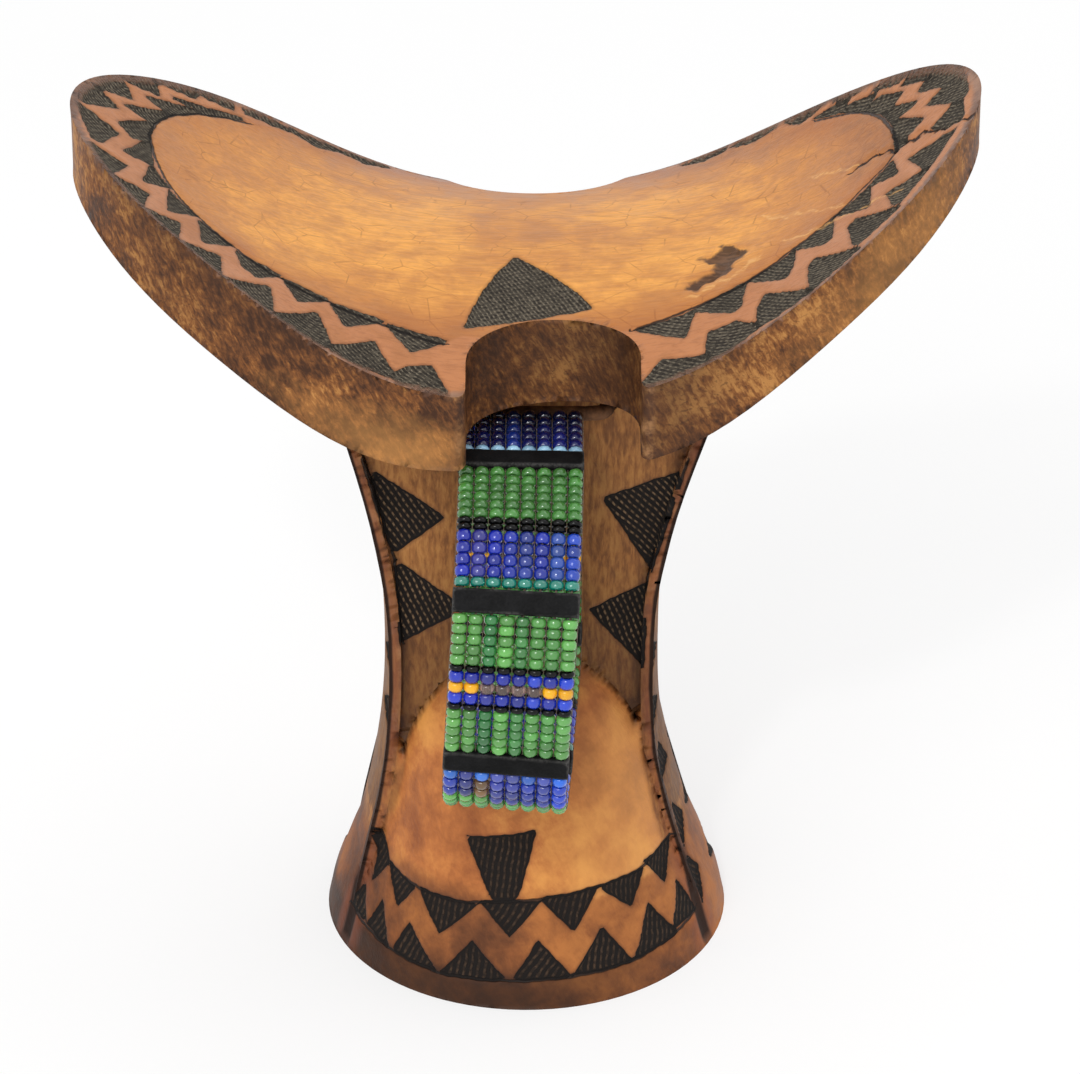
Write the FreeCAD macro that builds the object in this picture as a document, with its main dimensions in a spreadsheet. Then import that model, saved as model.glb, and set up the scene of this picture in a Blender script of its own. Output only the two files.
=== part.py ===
import FreeCAD, Part
import math
import os
import Sketcher
from FreeCAD import Placement, Rotation, Vector

os.makedirs("parts", exist_ok=True)
doc = FreeCAD.newDocument("headrest")
sheet = doc.addObject("Spreadsheet::Sheet", "Sizes")

# Driving sizes in millimetres, with the origin at the middle of the base and the front at -Y.
sizes = {
    # Saddle
    "saddleHalfLength": 87.2,
    "saddleHalfDepth": 45.5,
    "saddleHeight": 151.0,
    "wingRise": 30.0,
    "wingEllipseLength": 71.0,
    "rightWingLift": 3.0,
    "saddleThickness": 19.0,
    "blankOverhang": 8.0,
    "frontNotchHalfWidth": 16.6,
    "frontNotchRound": 12.0,
    "frontNotchDepth": 20.5,
    "frontNotchX": 5.3,
    "rearNotchHalfWidth": 19.2,
    "rearNotchRound": 19.0,
    "rearNotchDepth": 12.5,
    "rearNotchX": 2.0,
    "lobeRounding": 2.2,
    "edgeTolerance": 0.1,
    # Neck
    "waistHalfWidth": 27.4,
    "neckThickness": 28.0,
    "neckSink": 5.0,
    "neckSideBulge": 2.5,
    "ribWidth": 2.4,
    "ribProud": 1.9,
    "ribRoot": 1.5,
    # Base
    "baseRadius": 41.4,
    "moundHeight": 70.0,
    # Thong
    "thongDiameter": 3.0,
    "thongDrop": 27.0,
    "thongHoleClearance": 0.3,
    "thongHoleSpacing": 34.0,
    "thongStandOff": 3.9,
    "knotWidth": 9.0,
    "knotHeight": 7.5,
    "knotDepth": 6.0,
    "knotRoundness": 1.15,
    "tailLength": 36.0,
    "tailSpread": 4.0,
    # Bead loop
    "loopCentreX": -0.8,
    "beadDiameter": 2.9,
    "columnClearance": 0.08,
    "beadHole": 1.0,
    "faceRadius": 1.2,
    "beadGap": 0.12,
    "beadClearance": 0.05,
    "greenLength": 1.96,
    "blueLength": 2.26,
    "blackLength": 1.3,
    "tealLength": 1.9,
    "paleLength": 1.6,
    "bandLength": 2.1,
    "stringDiameter": 0.5,
    "stringEndGap": 0.6,
    "barLength": 4.8,
    "barThickness": 3.0,
    "barMargin": 0.2,
    "barHole": 1.1,
    "barEdgeRound": 0.6,
    "wrapGap": 0.25,
    "wrapAngle": 99.0,
    "twistShare": 0.23,
    "cutOverrun": 5.0,
    # Worked out from the sizes above
    "neckHeight": "=saddleHeight - neckSink",
    "thongHeight": "=saddleHeight - thongDrop",
    "columnPitch": "=beadDiameter + columnClearance",
}
for row, (alias, value) in enumerate(sizes.items(), start=1):
    sheet.set(f"A{row}", alias)
    sheet.set(f"B{row}", str(value))
    sheet.setAlias(f"B{row}", alias)
doc.recompute()


def size(alias):
    return float(sheet.get(alias))


def bind(thing, **bindings):
    for prop, expression in bindings.items():
        thing.setExpression(prop.replace("__", "."), expression)
    return thing


def formed(name, shape):
    # A piece whose shape is worked out below from the sheet's sizes.
    piece = doc.addObject("Part::Feature", name)
    piece.Shape = shape
    return piece


# Saddle blank: a loft of upright sections along X, wider than the saddle, crowned in the middle
# and flat or a little dished at the wings.
halfLength = size("saddleHalfLength")
halfDepth = size("saddleHalfDepth")
saddleHeight = size("saddleHeight")
wingRise = size("wingRise")
saddleThickness = size("saddleThickness")
blankHalfDepth = halfDepth + size("blankOverhang")
# Share of the half length, then centre top and rim top (shares of the wing's rise above the
# saddle's middle), centre underside and rim underside (shares of the thickness below the top),
# and for the right wing only its extra lift (share of rightWingLift) and its thickness share
saddleShares = [
    (0.0, 0.0, -0.317, 1.02, 0.76, 0.0, 1.0),
    (0.286, 0.05, -0.19, 0.98, 0.92, -0.18, 0.89),
    (0.572, 0.276, 0.28, 1.0, 1.0, -0.38, 0.755),
    (0.847, 0.752, 0.88, 0.94, 0.94, 0.35, 0.76),
    (1.087, 1.21, 1.30, 0.64, 0.64, 1.2, 0.73),
]


def saddleSection(side, shares):
    along, middle, rim, middleDeep, rimDeep, liftShare, thinShare = shares
    lift = size("rightWingLift") * liftShare if side > 0 else 0.0
    thickness = saddleThickness * (thinShare if side > 0 else 1)
    x = side * along * halfLength
    spread = (blankHalfDepth / halfDepth) ** 2
    topMiddle = saddleHeight + middle * wingRise + lift
    topRim = topMiddle + (rim - middle) * wingRise * spread
    lowMiddle = topMiddle - middleDeep * thickness
    rimUnder = saddleHeight + rim * wingRise + lift - rimDeep * thickness
    lowRim = lowMiddle + (rimUnder - lowMiddle) * spread
    front = -blankHalfDepth
    rear = blankHalfDepth
    top = Part.Arc(Vector(x, front, topRim), Vector(x, 0, topMiddle), Vector(x, rear, topRim))
    low = Part.Arc(Vector(x, rear, lowRim), Vector(x, 0, lowMiddle), Vector(x, front, lowRim))
    rearSide = Part.LineSegment(Vector(x, rear, topRim), Vector(x, rear, lowRim))
    frontSide = Part.LineSegment(Vector(x, front, lowRim), Vector(x, front, topRim))
    return Part.Wire([top.toShape(), rearSide.toShape(), low.toShape(), frontSide.toShape()])


leftSections = [saddleSection(-1, shares) for shares in reversed(saddleShares[1:])]
rightSections = [saddleSection(1, shares) for shares in saddleShares]
saddleBlank = formed("saddleBlank", Part.makeLoft(leftSections + rightSections, True, False))

# Plan of the saddle: straight front and rear edges and a half ellipse at each wing.
planEnds = []
for side in (-1, 1):
    name = "rightEnd" if side > 0 else "leftEnd"
    ellipse = doc.addObject("Part::Ellipse", name + "Outline")
    bind(ellipse, MajorRadius="Sizes.wingEllipseLength", MinorRadius="Sizes.saddleHalfDepth")
    centre = f"{side} * (Sizes.saddleHalfLength - Sizes.wingEllipseLength)"
    bind(ellipse, Placement__Base__x=centre)
    end = doc.addObject("Part::Extrusion", name)
    end.Base = ellipse
    end.Dir = Vector(0, 0, 1)
    end.Solid = True
    bind(end, LengthFwd="2 * Sizes.saddleHeight")
    planEnds.append(end)
planMiddle = doc.addObject("Part::Box", "planMiddle")
bind(planMiddle, Length="2 * (Sizes.saddleHalfLength - Sizes.wingEllipseLength)",
     Width="2 * Sizes.saddleHalfDepth", Height="2 * Sizes.saddleHeight",
     Placement__Base__x="Sizes.wingEllipseLength - Sizes.saddleHalfLength",
     Placement__Base__y="-Sizes.saddleHalfDepth")
plan = doc.addObject("Part::MultiFuse", "saddlePlan")
plan.Shapes = planEnds + [planMiddle]

# Notches bitten out of the front and rear edges: a half-round back and straight sides.
notches = []
for name, side in (("frontNotch", -1), ("rearNotch", 1)):
    middleY = f"{side} * (Sizes.saddleHalfDepth - Sizes.{name}Depth + Sizes.{name}Round)"
    outline = doc.addObject("Part::Ellipse", name + "Outline")
    bind(outline, MajorRadius=f"Sizes.{name}HalfWidth", MinorRadius=f"Sizes.{name}Round",
         Placement__Base__x=f"Sizes.{name}X", Placement__Base__y=middleY)
    back = doc.addObject("Part::Extrusion", name + "Back")
    back.Base = outline
    back.Dir = Vector(0, 0, 1)
    back.Solid = True
    bind(back, LengthFwd="2 * Sizes.saddleHeight")
    mouth = doc.addObject("Part::Box", name + "Mouth")
    nearY = middleY if side > 0 else f"{middleY} - Sizes.saddleHalfDepth"
    bind(mouth, Length=f"2 * Sizes.{name}HalfWidth", Width="Sizes.saddleHalfDepth",
         Height="2 * Sizes.saddleHeight",
         Placement__Base__x=f"Sizes.{name}X - Sizes.{name}HalfWidth",
         Placement__Base__y=nearY)
    notches += [back, mouth]
notchTool = doc.addObject("Part::MultiFuse", "notchTool")
notchTool.Shapes = notches
notchedPlan = doc.addObject("Part::Cut", "notchedPlan")
notchedPlan.Base = plan
notchedPlan.Tool = notchTool
doc.recompute()


def lobeCorners(shape):
    # The four upright edges where a notch meets the saddle's front or rear edge.
    found = []
    for number, edge in enumerate(shape.Edges, start=1):
        ends = [vertex.Point for vertex in edge.Vertexes]
        if len(ends) != 2 or abs(ends[0].z - ends[1].z) < saddleHeight:
            continue
        reach = notchTool.Shape.distToShape(Part.Vertex((ends[0] + ends[1]) / 2))[0]
        atMouth = abs(ends[0].y) > halfDepth - lobeRounding
        if atMouth and reach < size("edgeTolerance"):
            found.append(number)
    return found


lobeRounding = size("lobeRounding")
roundedPlan = doc.addObject("Part::Fillet", "roundedPlan")
roundedPlan.Base = notchedPlan
roundedPlan.Edges = [(n, lobeRounding, lobeRounding) for n in lobeCorners(notchedPlan.Shape)]
saddle = doc.addObject("Part::Common", "saddle")
saddle.Base = saddleBlank
saddle.Tool = roundedPlan

# Neck: a flat slab with bulging side faces, waisted in front view and flaring at both ends.
# Share of the neck's height, then half width and the middle's shift to the right, both as
# shares of the waist's half width
neckShares = [
    (0.0, 1.467, 0.0),
    (0.062, 1.375, -0.005),
    (0.137, 1.237, -0.02),
    (0.226, 1.12, -0.03),
    (0.308, 1.042, -0.04),
    (0.41, 1.008, -0.037),
    (0.49, 1.01, -0.035),
    (0.555, 1.033, -0.035),
    (0.616, 1.085, -0.03),
    (0.678, 1.152, -0.024),
    (0.743, 1.243, -0.014),
    (0.81, 1.35, -0.004),
    (0.877, 1.48, 0.0),
    (0.932, 1.615, 0.0),
    (1.0, 1.68, 0.0),
]
# The ribs stay on the round foot at the bottom
ribShares = [(0.0, 1.415, 0.0), (0.062, 1.335, 0.0)] + neckShares[2:-1]
waist = size("waistHalfWidth")
neckHeight = size("neckHeight")
halfNeck = size("neckThickness") / 2
bulge = size("neckSideBulge")


def neckSection(shares):
    z = shares[0] * neckHeight
    middle = shares[1] * waist
    corner = middle - bulge
    shift = Vector(shares[2] * waist, 0, z)
    right = Part.Arc(shift + Vector(corner, -halfNeck, 0), shift + Vector(middle, 0, 0),
                     shift + Vector(corner, halfNeck, 0))
    left = Part.Arc(shift + Vector(-corner, halfNeck, 0), shift + Vector(-middle, 0, 0),
                    shift + Vector(-corner, -halfNeck, 0))
    rear = Part.LineSegment(right.EndPoint, left.StartPoint)
    front = Part.LineSegment(left.EndPoint, right.StartPoint)
    return Part.Wire([right.toShape(), rear.toShape(), left.toShape(), front.toShape()])


neck = formed("neck", Part.makeLoft([neckSection(shares) for shares in neckShares], True, False))

# Ribs: thin fins along the four corners of the neck, from the saddle down over the base.
ribWidth = size("ribWidth")
ribProud = size("ribProud")
ribRoot = size("ribRoot")


def ribSection(shares, side, face):
    z = shares[0] * neckHeight
    outer = side * (shares[1] * waist - bulge + ribWidth / 2) + shares[2] * waist
    inner = outer - side * ribWidth
    root = face * (halfNeck - ribRoot)
    crest = face * (halfNeck + ribProud)
    corners = [Vector(outer, root, z), Vector(outer, crest, z), Vector(inner, crest, z),
               Vector(inner, root, z)]
    return Part.makePolygon(corners + corners[:1])


ribs = []
for side in (-1, 1):
    for face in (-1, 1):
        name = ("right" if side > 0 else "left") + ("Rear" if face > 0 else "Front") + "Rib"
        sections = [ribSection(shares, side, face) for shares in ribShares]
        ribs.append(formed(name, Part.makeLoft(sections, True, False)))

# Base: a round foot that rises into a mound on the front and the rear of the neck.
# Share of the mound's height, then side and front radii as shares of the base radius
moundShares = [
    (0.0, 0.99, 1.0),
    (0.064, 0.97, 0.99),
    (0.129, 0.937, 0.973),
    (0.229, 0.865, 0.938),
    (0.329, 0.8, 0.897),
    (0.471, 0.728, 0.853),
    (0.614, 0.677, 0.785),
    (0.721, 0.633, 0.7),
    (0.8, 0.58, 0.623),
    (0.879, 0.51, 0.5145),
    (0.93, 0.435, 0.4445),
    (1.0, 0.29, 0.2995),
]
moundOutlines = []
for number, (rise, sideShare, frontShare) in enumerate(moundShares, start=1):
    outline = doc.addObject("Part::Ellipse", f"moundOutline{number}")
    outline.Placement.Rotation = Rotation(Vector(0, 0, 1), 90)
    bind(outline, MajorRadius=f"{frontShare} * Sizes.baseRadius",
         MinorRadius=f"{sideShare} * Sizes.baseRadius",
         Placement__Base__z=f"{rise} * Sizes.moundHeight")
    moundOutlines.append(outline)
mound = doc.addObject("Part::Loft", "mound")
mound.Sections = moundOutlines
mound.Solid = True
mound.Ruled = False

# Holes for the thong, drilled from front to rear just under the saddle.
thongHoles = []
for name, side in (("leftThongHole", -1), ("rightThongHole", 1)):
    hole = doc.addObject("Part::Cylinder", name)
    hole.Placement.Rotation = Rotation(Vector(1, 0, 0), -90)
    bind(hole, Radius="Sizes.thongDiameter / 2 + Sizes.thongHoleClearance",
         Height="Sizes.neckThickness + 2 * Sizes.cutOverrun",
         Placement__Base__x=f"Sizes.loopCentreX + {side} * Sizes.thongHoleSpacing / 2",
         Placement__Base__y="-Sizes.neckThickness / 2 - Sizes.cutOverrun",
         Placement__Base__z="Sizes.thongHeight")
    thongHoles.append(hole)
thongHoleTool = doc.addObject("Part::MultiFuse", "thongHoleTool")
thongHoleTool.Shapes = thongHoles

carving = doc.addObject("Part::MultiFuse", "carving")
carving.Shapes = [saddle, neck, mound] + ribs
headrestBody = doc.addObject("Part::Cut", "headrestBody")
headrestBody.Base = carving
headrestBody.Tool = thongHoleTool
headrestBody.Label = "headrest_body"
doc.recompute()
pieces = [headrestBody]


def roundedRoute(corners, closed=True):
    # Straight runs joined by tangent arcs; each corner is a point and the radius of its arc.
    edges = []
    count = len(corners)
    starts = []
    ends = []
    for i, (point, radius) in enumerate(corners):
        if not closed and i in (0, count - 1):
            starts.append(point)
            ends.append(point)
            continue
        before = corners[i - 1][0]
        after = corners[(i + 1) % count][0]
        inward = (point - before).normalize()
        outward = (after - point).normalize()
        turn = inward.getAngle(outward)
        reach = radius * math.tan(turn / 2)
        first = point - inward * reach
        last = point + outward * reach
        bisector = (outward - inward).normalize()
        centre = point + bisector * (radius / math.cos(turn / 2))
        starts.append((first, centre - bisector * radius, last))
        ends.append(last)
    for i in range(count):
        arc = starts[i]
        if isinstance(arc, tuple):
            edges.append(Part.Arc(*arc).toShape())
        if i + 1 < count or closed:
            following = starts[(i + 1) % count]
            target = following[0] if isinstance(following, tuple) else following
            edges.append(Part.LineSegment(ends[i], target).toShape())
    return edges


def routeLength(edges):
    return sum(edge.Length for edge in edges)


def routePoint(edges, distance):
    # The point and the heading at a distance along the route.
    for edge in edges:
        if distance <= edge.Length:
            parameter = edge.getParameterByLength(distance)
            return edge.valueAt(parameter), edge.tangentAt(parameter)
        distance -= edge.Length
    last = edges[-1]
    return last.valueAt(last.LastParameter), last.tangentAt(last.LastParameter)


def tube(edges, diameter):
    start, heading = routePoint(edges, 0)
    circle = Part.Wire([Part.Circle(start, heading, diameter / 2).toShape()])
    solid = Part.Wire(edges).makePipeShell([circle], True, False)
    return solid


# Thong: one strip of leather through both holes, bent across the front and knotted behind.
thongDiameter = size("thongDiameter")
thongHeight = size("thongHeight")
loopCentreX = size("loopCentreX")
frontY = -halfNeck - size("thongStandOff")
rearY = halfNeck + size("thongStandOff")
halfSpacing = size("thongHoleSpacing") / 2
bendRadius = size("thongStandOff")
knotHalfWidth = size("knotWidth") / 2


def thongCorner(across, y, radius):
    return (Vector(loopCentreX + across, y, thongHeight), radius)


thongRoute = roundedRoute([
    thongCorner(-knotHalfWidth, rearY, 0),
    thongCorner(-halfSpacing, rearY, bendRadius),
    thongCorner(-halfSpacing, frontY, bendRadius),
    thongCorner(halfSpacing, frontY, bendRadius),
    thongCorner(halfSpacing, rearY, bendRadius),
    thongCorner(knotHalfWidth, rearY, 0),
], closed=False)
thong = formed("thong", tube(thongRoute, thongDiameter))
thong.Label = "leather_thong"
pieces.append(thong)
print("thong length", round(routeLength(thongRoute), 2), "mm, bends", bendRadius, "mm")

# Knot: a squat rounded lump, flattened where the thong's two ends and the tails leave it.
knotBall = doc.addObject("Part::Ellipsoid", "knotBall")
bind(knotBall, Radius1="Sizes.knotHeight / 2 * Sizes.knotRoundness",
     Radius2="Sizes.knotWidth / 2 * Sizes.knotRoundness", Radius3="Sizes.knotDepth / 2")
knotBox = doc.addObject("Part::Box", "knotBox")
bind(knotBox, Length="Sizes.knotWidth", Width="Sizes.knotDepth", Height="Sizes.knotHeight",
     Placement__Base__x="-Sizes.knotWidth / 2", Placement__Base__y="-Sizes.knotDepth / 2",
     Placement__Base__z="-Sizes.knotHeight / 2")
knot = doc.addObject("Part::Common", "knot")
knot.Base = knotBall
knot.Tool = knotBox
knot.Label = "thong_knot"
knot.Placement = Placement(Vector(loopCentreX, rearY, thongHeight), Rotation())
pieces.append(knot)

# Tails: the thong's two cut ends, hanging from the knot a little apart.
tailShapes = []
tailLength = size("tailLength")
tailSpread = size("tailSpread")
knotBottom = thongHeight - size("knotHeight") / 2
# Share of the tail's length down, share of the spread outwards, share of it backwards
tailShares = [(0.0, 0.5, 0.0), (0.3, 0.6, 0.0), (0.62, 1.1, 0.1), (1.0, 1.2, 0.0)]
rightTailShare = 0.88
for side in (-1, 1):
    length = tailLength * (rightTailShare if side > 0 else 1)
    corners = []
    for down, out, back in tailShares:
        point = Vector(loopCentreX + side * out * tailSpread, rearY + back * tailSpread,
                       knotBottom - down * length)
        corners.append((point, tailLength / 2))
    tailRoute = roundedRoute(corners, closed=False)
    tailShapes.append(tube(tailRoute, thongDiameter))
tails = formed("tails", Part.makeCompound(tailShapes))
tails.Label = "thong_tails"
pieces.append(tails)

# Bead loop: the order of rows round the loop, starting outwards from the thong.
rowLength = {
    "green": size("greenLength"),
    "blue": size("blueLength"),
    "black": size("blackLength"),
    "teal": size("tealLength"),
    "pale_blue": size("paleLength"),
    "band": size("bandLength"),
    "bar": size("barLength"),
}
crownRows = [("blue", 5), ("pale_blue", 1)]
innerCrownRows = [("pale_blue", 1), ("blue", 4)]
upperRows = [("green", 6), ("black", 2), ("blue", 4), ("teal", 1)]
lowerRows = [("green", 5), ("black", 1), ("blue", 1), ("band", 1), ("blue", 1), ("black", 1), ("green", 5)]
foldRows = [("blue", 4), ("green", 4), ("blue", 4)]
stretches = [
    ("front_top", crownRows),
    ("front_upper", upperRows),
    ("front_lower", lowerRows),
    ("fold", foldRows),
    ("back_lower", upperRows[::-1]),
    ("back_upper", lowerRows),
    ("back_top", innerCrownRows),
]
bandColours = ["yellow", "yellow", "clear", "clear", "clear", "clear", "yellow", "yellow"]
columnCount = len(bandColours)
wrapRadius = thongDiameter / 2 + size("stringDiameter") / 2 + size("wrapGap")
beadRadius = size("beadDiameter") / 2
bareLength = (math.sqrt((thongDiameter / 2 + beadRadius) ** 2 - wrapRadius ** 2)
              + size("beadGap") + size("wrapGap"))
wrapTurn = math.radians(size("wrapAngle"))
wrapHalf = wrapRadius * wrapTurn
strung = []
for stretch, rows in stretches:
    strung += [(stretch, colour) for colour, count in rows for number in range(count)]
    strung.append((stretch, "bar"))
strung.pop()
loopLength = sum(rowLength[kind] for stretch, kind in strung) + 2 * bareLength + wrapHalf

# Corners of the loop in side view, as shares of its length: out from the neck's face, down from
# the thong, and the radius of the arc. The first corner goes round the thong itself.
loopShares = [
    (0.1163, 0.0066, 0.06),
    (0.1741, 0.0325, 0.1),
    (0.2198, 0.0832, 0.09),
    (0.2452, 0.135, 0.15),
    (0.2523, 0.2005, 0.2),
    (0.236, 0.2984, 0.071),
    (0.1782, 0.335, 0.071),
    (0.1224, 0.306, 0.1),
    (0.012, 0.276, 0.028),
]
innerOffset = frontY + wrapRadius
wrapSlope = math.tan(wrapTurn - math.pi / 2)
twist = size("twistShare") / loopLength


def loopCorners(scale, across):
    # The loop's lower part leans a little to the left and turns its right edge forward.
    reach = scale * loopLength
    flat = [(innerOffset, thongHeight + wrapRadius / math.cos(wrapTurn - math.pi / 2)
             + wrapRadius * wrapSlope, wrapRadius)]
    for out, down, radius in loopShares:
        flat.append((innerOffset - out * reach, thongHeight - down * reach, radius * reach))
    corners = []
    for y, z, radius in flat:
        drop = max(0.0, thongHeight - z)
        out = max(0.0, innerOffset - y)
        x = loopCentreX + across - twist * drop * out
        corners.append((Vector(x, y - across * twist * drop, z - across * twist * out), radius))
    return corners


def halfSolid(kind):
    gap = 0.0 if kind == "bar" else size("beadGap")
    return (rowLength[kind] - gap) / 2


def faceGap(first, firstHalf, second, secondHalf):
    # The least gap between the facing ends of two neighbours on the inside of a bend.
    point, heading = routePoint(middleRoute, first)
    following, onward = routePoint(middleRoute, second)
    tilt = size("faceRadius") * math.sin(heading.getAngle(onward))
    ahead = (following - onward * secondHalf - point).dot(heading) - firstHalf
    behind = (following - point - heading * firstHalf).dot(onward) - secondHalf
    return min(ahead, behind) - tilt


def strungPlaces():
    # The distance of each row and bar along the loop, spread apart where the loop bends.
    places = []
    place = wrapHalf + bareLength + rowLength[strung[0][1]] / 2
    for number, (stretch, kind) in enumerate(strung):
        if places:
            before = strung[number - 1][1]
            last = places[-1]
            place = last + (rowLength[before] + rowLength[kind]) / 2
            for attempt in range(fittingRounds):
                gap = faceGap(last, halfSolid(before), place, halfSolid(kind))
                place += max(0.0, size("beadClearance") - gap)
        places.append(place)
    return places


# The loop grows until its strung rows just fill it.
fittingRounds = 6
neededLength = loopLength
loopScale = 1.0
for attempt in range(fittingRounds):
    middleRoute = roundedRoute(loopCorners(loopScale, 0))
    loopScale *= neededLength / routeLength(middleRoute)
    middleRoute = roundedRoute(loopCorners(loopScale, 0))
    places = strungPlaces()
    neededLength = places[-1] + rowLength[strung[-1][1]] / 2 + bareLength
columnOffsets = [(i - (columnCount - 1) / 2) * size("columnPitch") for i in range(columnCount)]
columnRoutes = [roundedRoute(loopCorners(loopScale, across)) for across in columnOffsets]
columnLengths = [routeLength(route) for route in columnRoutes]
print("loop length", round(neededLength, 2), "mm, columns", round(min(columnLengths), 2), "to",
      round(max(columnLengths), 2), "mm, scale", round(loopScale, 4))


def beadPattern(name, expression):
    # A seed bead: a barrel cut from a ball, with the string's hole through it.
    ball = doc.addObject("Part::Sphere", name + "Ball")
    rise = f"asin(({expression} - Sizes.beadGap) / Sizes.beadDiameter)"
    bind(ball, Radius="Sizes.beadDiameter / 2", Angle2=rise, Angle1="-" + rise)
    bore = doc.addObject("Part::Cylinder", name + "Bore")
    bind(bore, Radius="Sizes.beadHole / 2", Height=f"{expression} + 2 * Sizes.beadGap",
         Placement__Base__z=f"-{expression} / 2 - Sizes.beadGap")
    bead = doc.addObject("Part::Cut", name)
    bead.Base = ball
    bead.Tool = bore
    return bead


patterns = {
    "green": beadPattern("greenBead", "Sizes.greenLength"),
    "blue": beadPattern("blueBead", "Sizes.blueLength"),
    "black": beadPattern("blackBead", "Sizes.blackLength"),
    "teal": beadPattern("tealBead", "Sizes.tealLength"),
    "pale_blue": beadPattern("paleBlueBead", "Sizes.paleLength"),
    "band": beadPattern("bandBead", "Sizes.bandLength"),
}
doc.recompute()


def columnFrame(column, middleDistance):
    # Where a column crosses the plane that stands square on the loop's middle line.
    middle, square = routePoint(middleRoute, middleDistance)
    distance = middleDistance / routeLength(middleRoute) * columnLengths[column]
    for attempt in range(fittingRounds):
        point, heading = routePoint(columnRoutes[column], distance)
        distance += (middle - point).dot(square) / heading.dot(square)
    return routePoint(columnRoutes[column], distance)


def facing(point, heading, across):
    # Stands a piece on the route with its Z along the string and its X across the loop.
    normal = heading.cross(across).normalize()
    side = normal.cross(heading).normalize()
    return Placement(point, Rotation(side, normal, heading, "ZXY"))


def acrossAt(middleDistance):
    first = columnFrame(0, middleDistance)[0]
    last = columnFrame(columnCount - 1, middleDistance)[0]
    return (last - first).normalize()


groups = {}
barPlaces = []
for (stretch, kind), place in zip(strung, places):
    if kind == "bar":
        barPlaces.append(place)
        continue
    across = acrossAt(place)
    for column in range(columnCount):
        point, heading = columnFrame(column, place)
        bead = patterns[kind].Shape.copy()
        bead.Placement = facing(point, heading, across)
        shown = bandColours[column] if kind == "band" else kind
        groups.setdefault((shown, stretch), []).append(bead)
beadCount = 0
for (colour, stretch), beads in groups.items():
    group = formed(colour + stretch, Part.makeCompound(beads))
    group.Label = f"{colour}_beads_{stretch}"
    beadCount += len(beads)
    pieces.append(group)
print("beads", beadCount, "in", len(groups), "groups")


def originPlane(body, role):
    return [feature for feature in body.Origin.OriginFeatures if feature.Role == role][0]


def spacerBar(name):
    # A strip of black leather laid across the loop, pierced once for each string.
    body = doc.addObject("PartDesign::Body", name)
    outline = body.newObject("Sketcher::SketchObject", name + "Outline")
    outline.AttachmentSupport = [(originPlane(body, "XY_Plane"), "")]
    outline.MapMode = "FlatFace"
    halfWidth = (columnCount * size("columnPitch") / 2) + size("barMargin")
    halfThick = size("barThickness") / 2
    corners = [Vector(-halfWidth, -halfThick, 0), Vector(halfWidth, -halfThick, 0),
               Vector(halfWidth, halfThick, 0), Vector(-halfWidth, halfThick, 0)]
    for i in range(4):
        outline.addGeometry(Part.LineSegment(corners[i], corners[(i + 1) % 4]), False)
    for i in range(4):
        outline.addConstraint(Sketcher.Constraint("Coincident", i, 2, (i + 1) % 4, 1))
    for i in (0, 2):
        outline.addConstraint(Sketcher.Constraint("Horizontal", i))
    for i in (1, 3):
        outline.addConstraint(Sketcher.Constraint("Vertical", i))
    outline.addConstraint(Sketcher.Constraint("Symmetric", 0, 1, 2, 1, -1, 1))
    width = outline.addConstraint(Sketcher.Constraint("DistanceX", 0, 1, 0, 2, 2 * halfWidth))
    thick = outline.addConstraint(Sketcher.Constraint("DistanceY", 1, 1, 1, 2, 2 * halfThick))
    outline.setExpression(f"Constraints[{width}]",
                          f"{columnCount} * Sizes.columnPitch + 2 * Sizes.barMargin")
    outline.setExpression(f"Constraints[{thick}]", "Sizes.barThickness")
    strip = body.newObject("PartDesign::Pad", name + "Strip")
    strip.Profile = outline
    strip.Midplane = True
    strip.setExpression("Length", "Sizes.barLength")
    doc.recompute()
    edges = [f"Edge{number}" for number, edge in enumerate(strip.Shape.Edges, start=1)
             if edge.Length > size("barLength") * 2]
    rounded = body.newObject("PartDesign::Fillet", name + "Round")
    rounded.Base = (strip, edges)
    rounded.setExpression("Radius", "Sizes.barEdgeRound")
    doc.recompute()
    punch = body.newObject("Sketcher::SketchObject", name + "Punch")
    punch.AttachmentSupport = [(originPlane(body, "XY_Plane"), "")]
    punch.MapMode = "FlatFace"
    punch.addGeometry(Part.Circle(Vector(columnOffsets[0], 0, 0), Vector(0, 0, 1), size("barHole") / 2))
    bore = punch.addConstraint(Sketcher.Constraint("Diameter", 0, size("barHole")))
    place = punch.addConstraint(Sketcher.Constraint("DistanceX", 0, 3, -1, 1, -columnOffsets[0]))
    punch.addConstraint(Sketcher.Constraint("PointOnObject", 0, 3, -1))
    punch.setExpression(f"Constraints[{bore}]", "Sizes.barHole")
    punch.setExpression(f"Constraints[{place}]", f"{(columnCount - 1) / 2} * Sizes.columnPitch")
    pierced = body.newObject("PartDesign::Pocket", name + "Hole")
    pierced.Profile = punch
    pierced.Midplane = True
    pierced.Type = 1
    holes = body.newObject("PartDesign::LinearPattern", name + "Holes")
    holes.Originals = [pierced]
    holes.Direction = (originPlane(body, "X_Axis"), [""])
    holes.Occurrences = columnCount
    holes.setExpression("Length", f"{columnCount - 1} * Sizes.columnPitch")
    body.Tip = holes
    doc.recompute()
    return body


barNames = ["top_front", "middle_front", "bottom_front", "bottom_back", "middle_back", "top_back"]
for name, middleDistance in zip(barNames, barPlaces):
    bar = spacerBar("bar" + name.title().replace("_", ""))
    bar.Label = "spacer_bar_" + name
    point, heading = routePoint(middleRoute, middleDistance)
    bar.Placement = facing(point, heading, acrossAt(middleDistance))
    pieces.append(bar)

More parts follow.
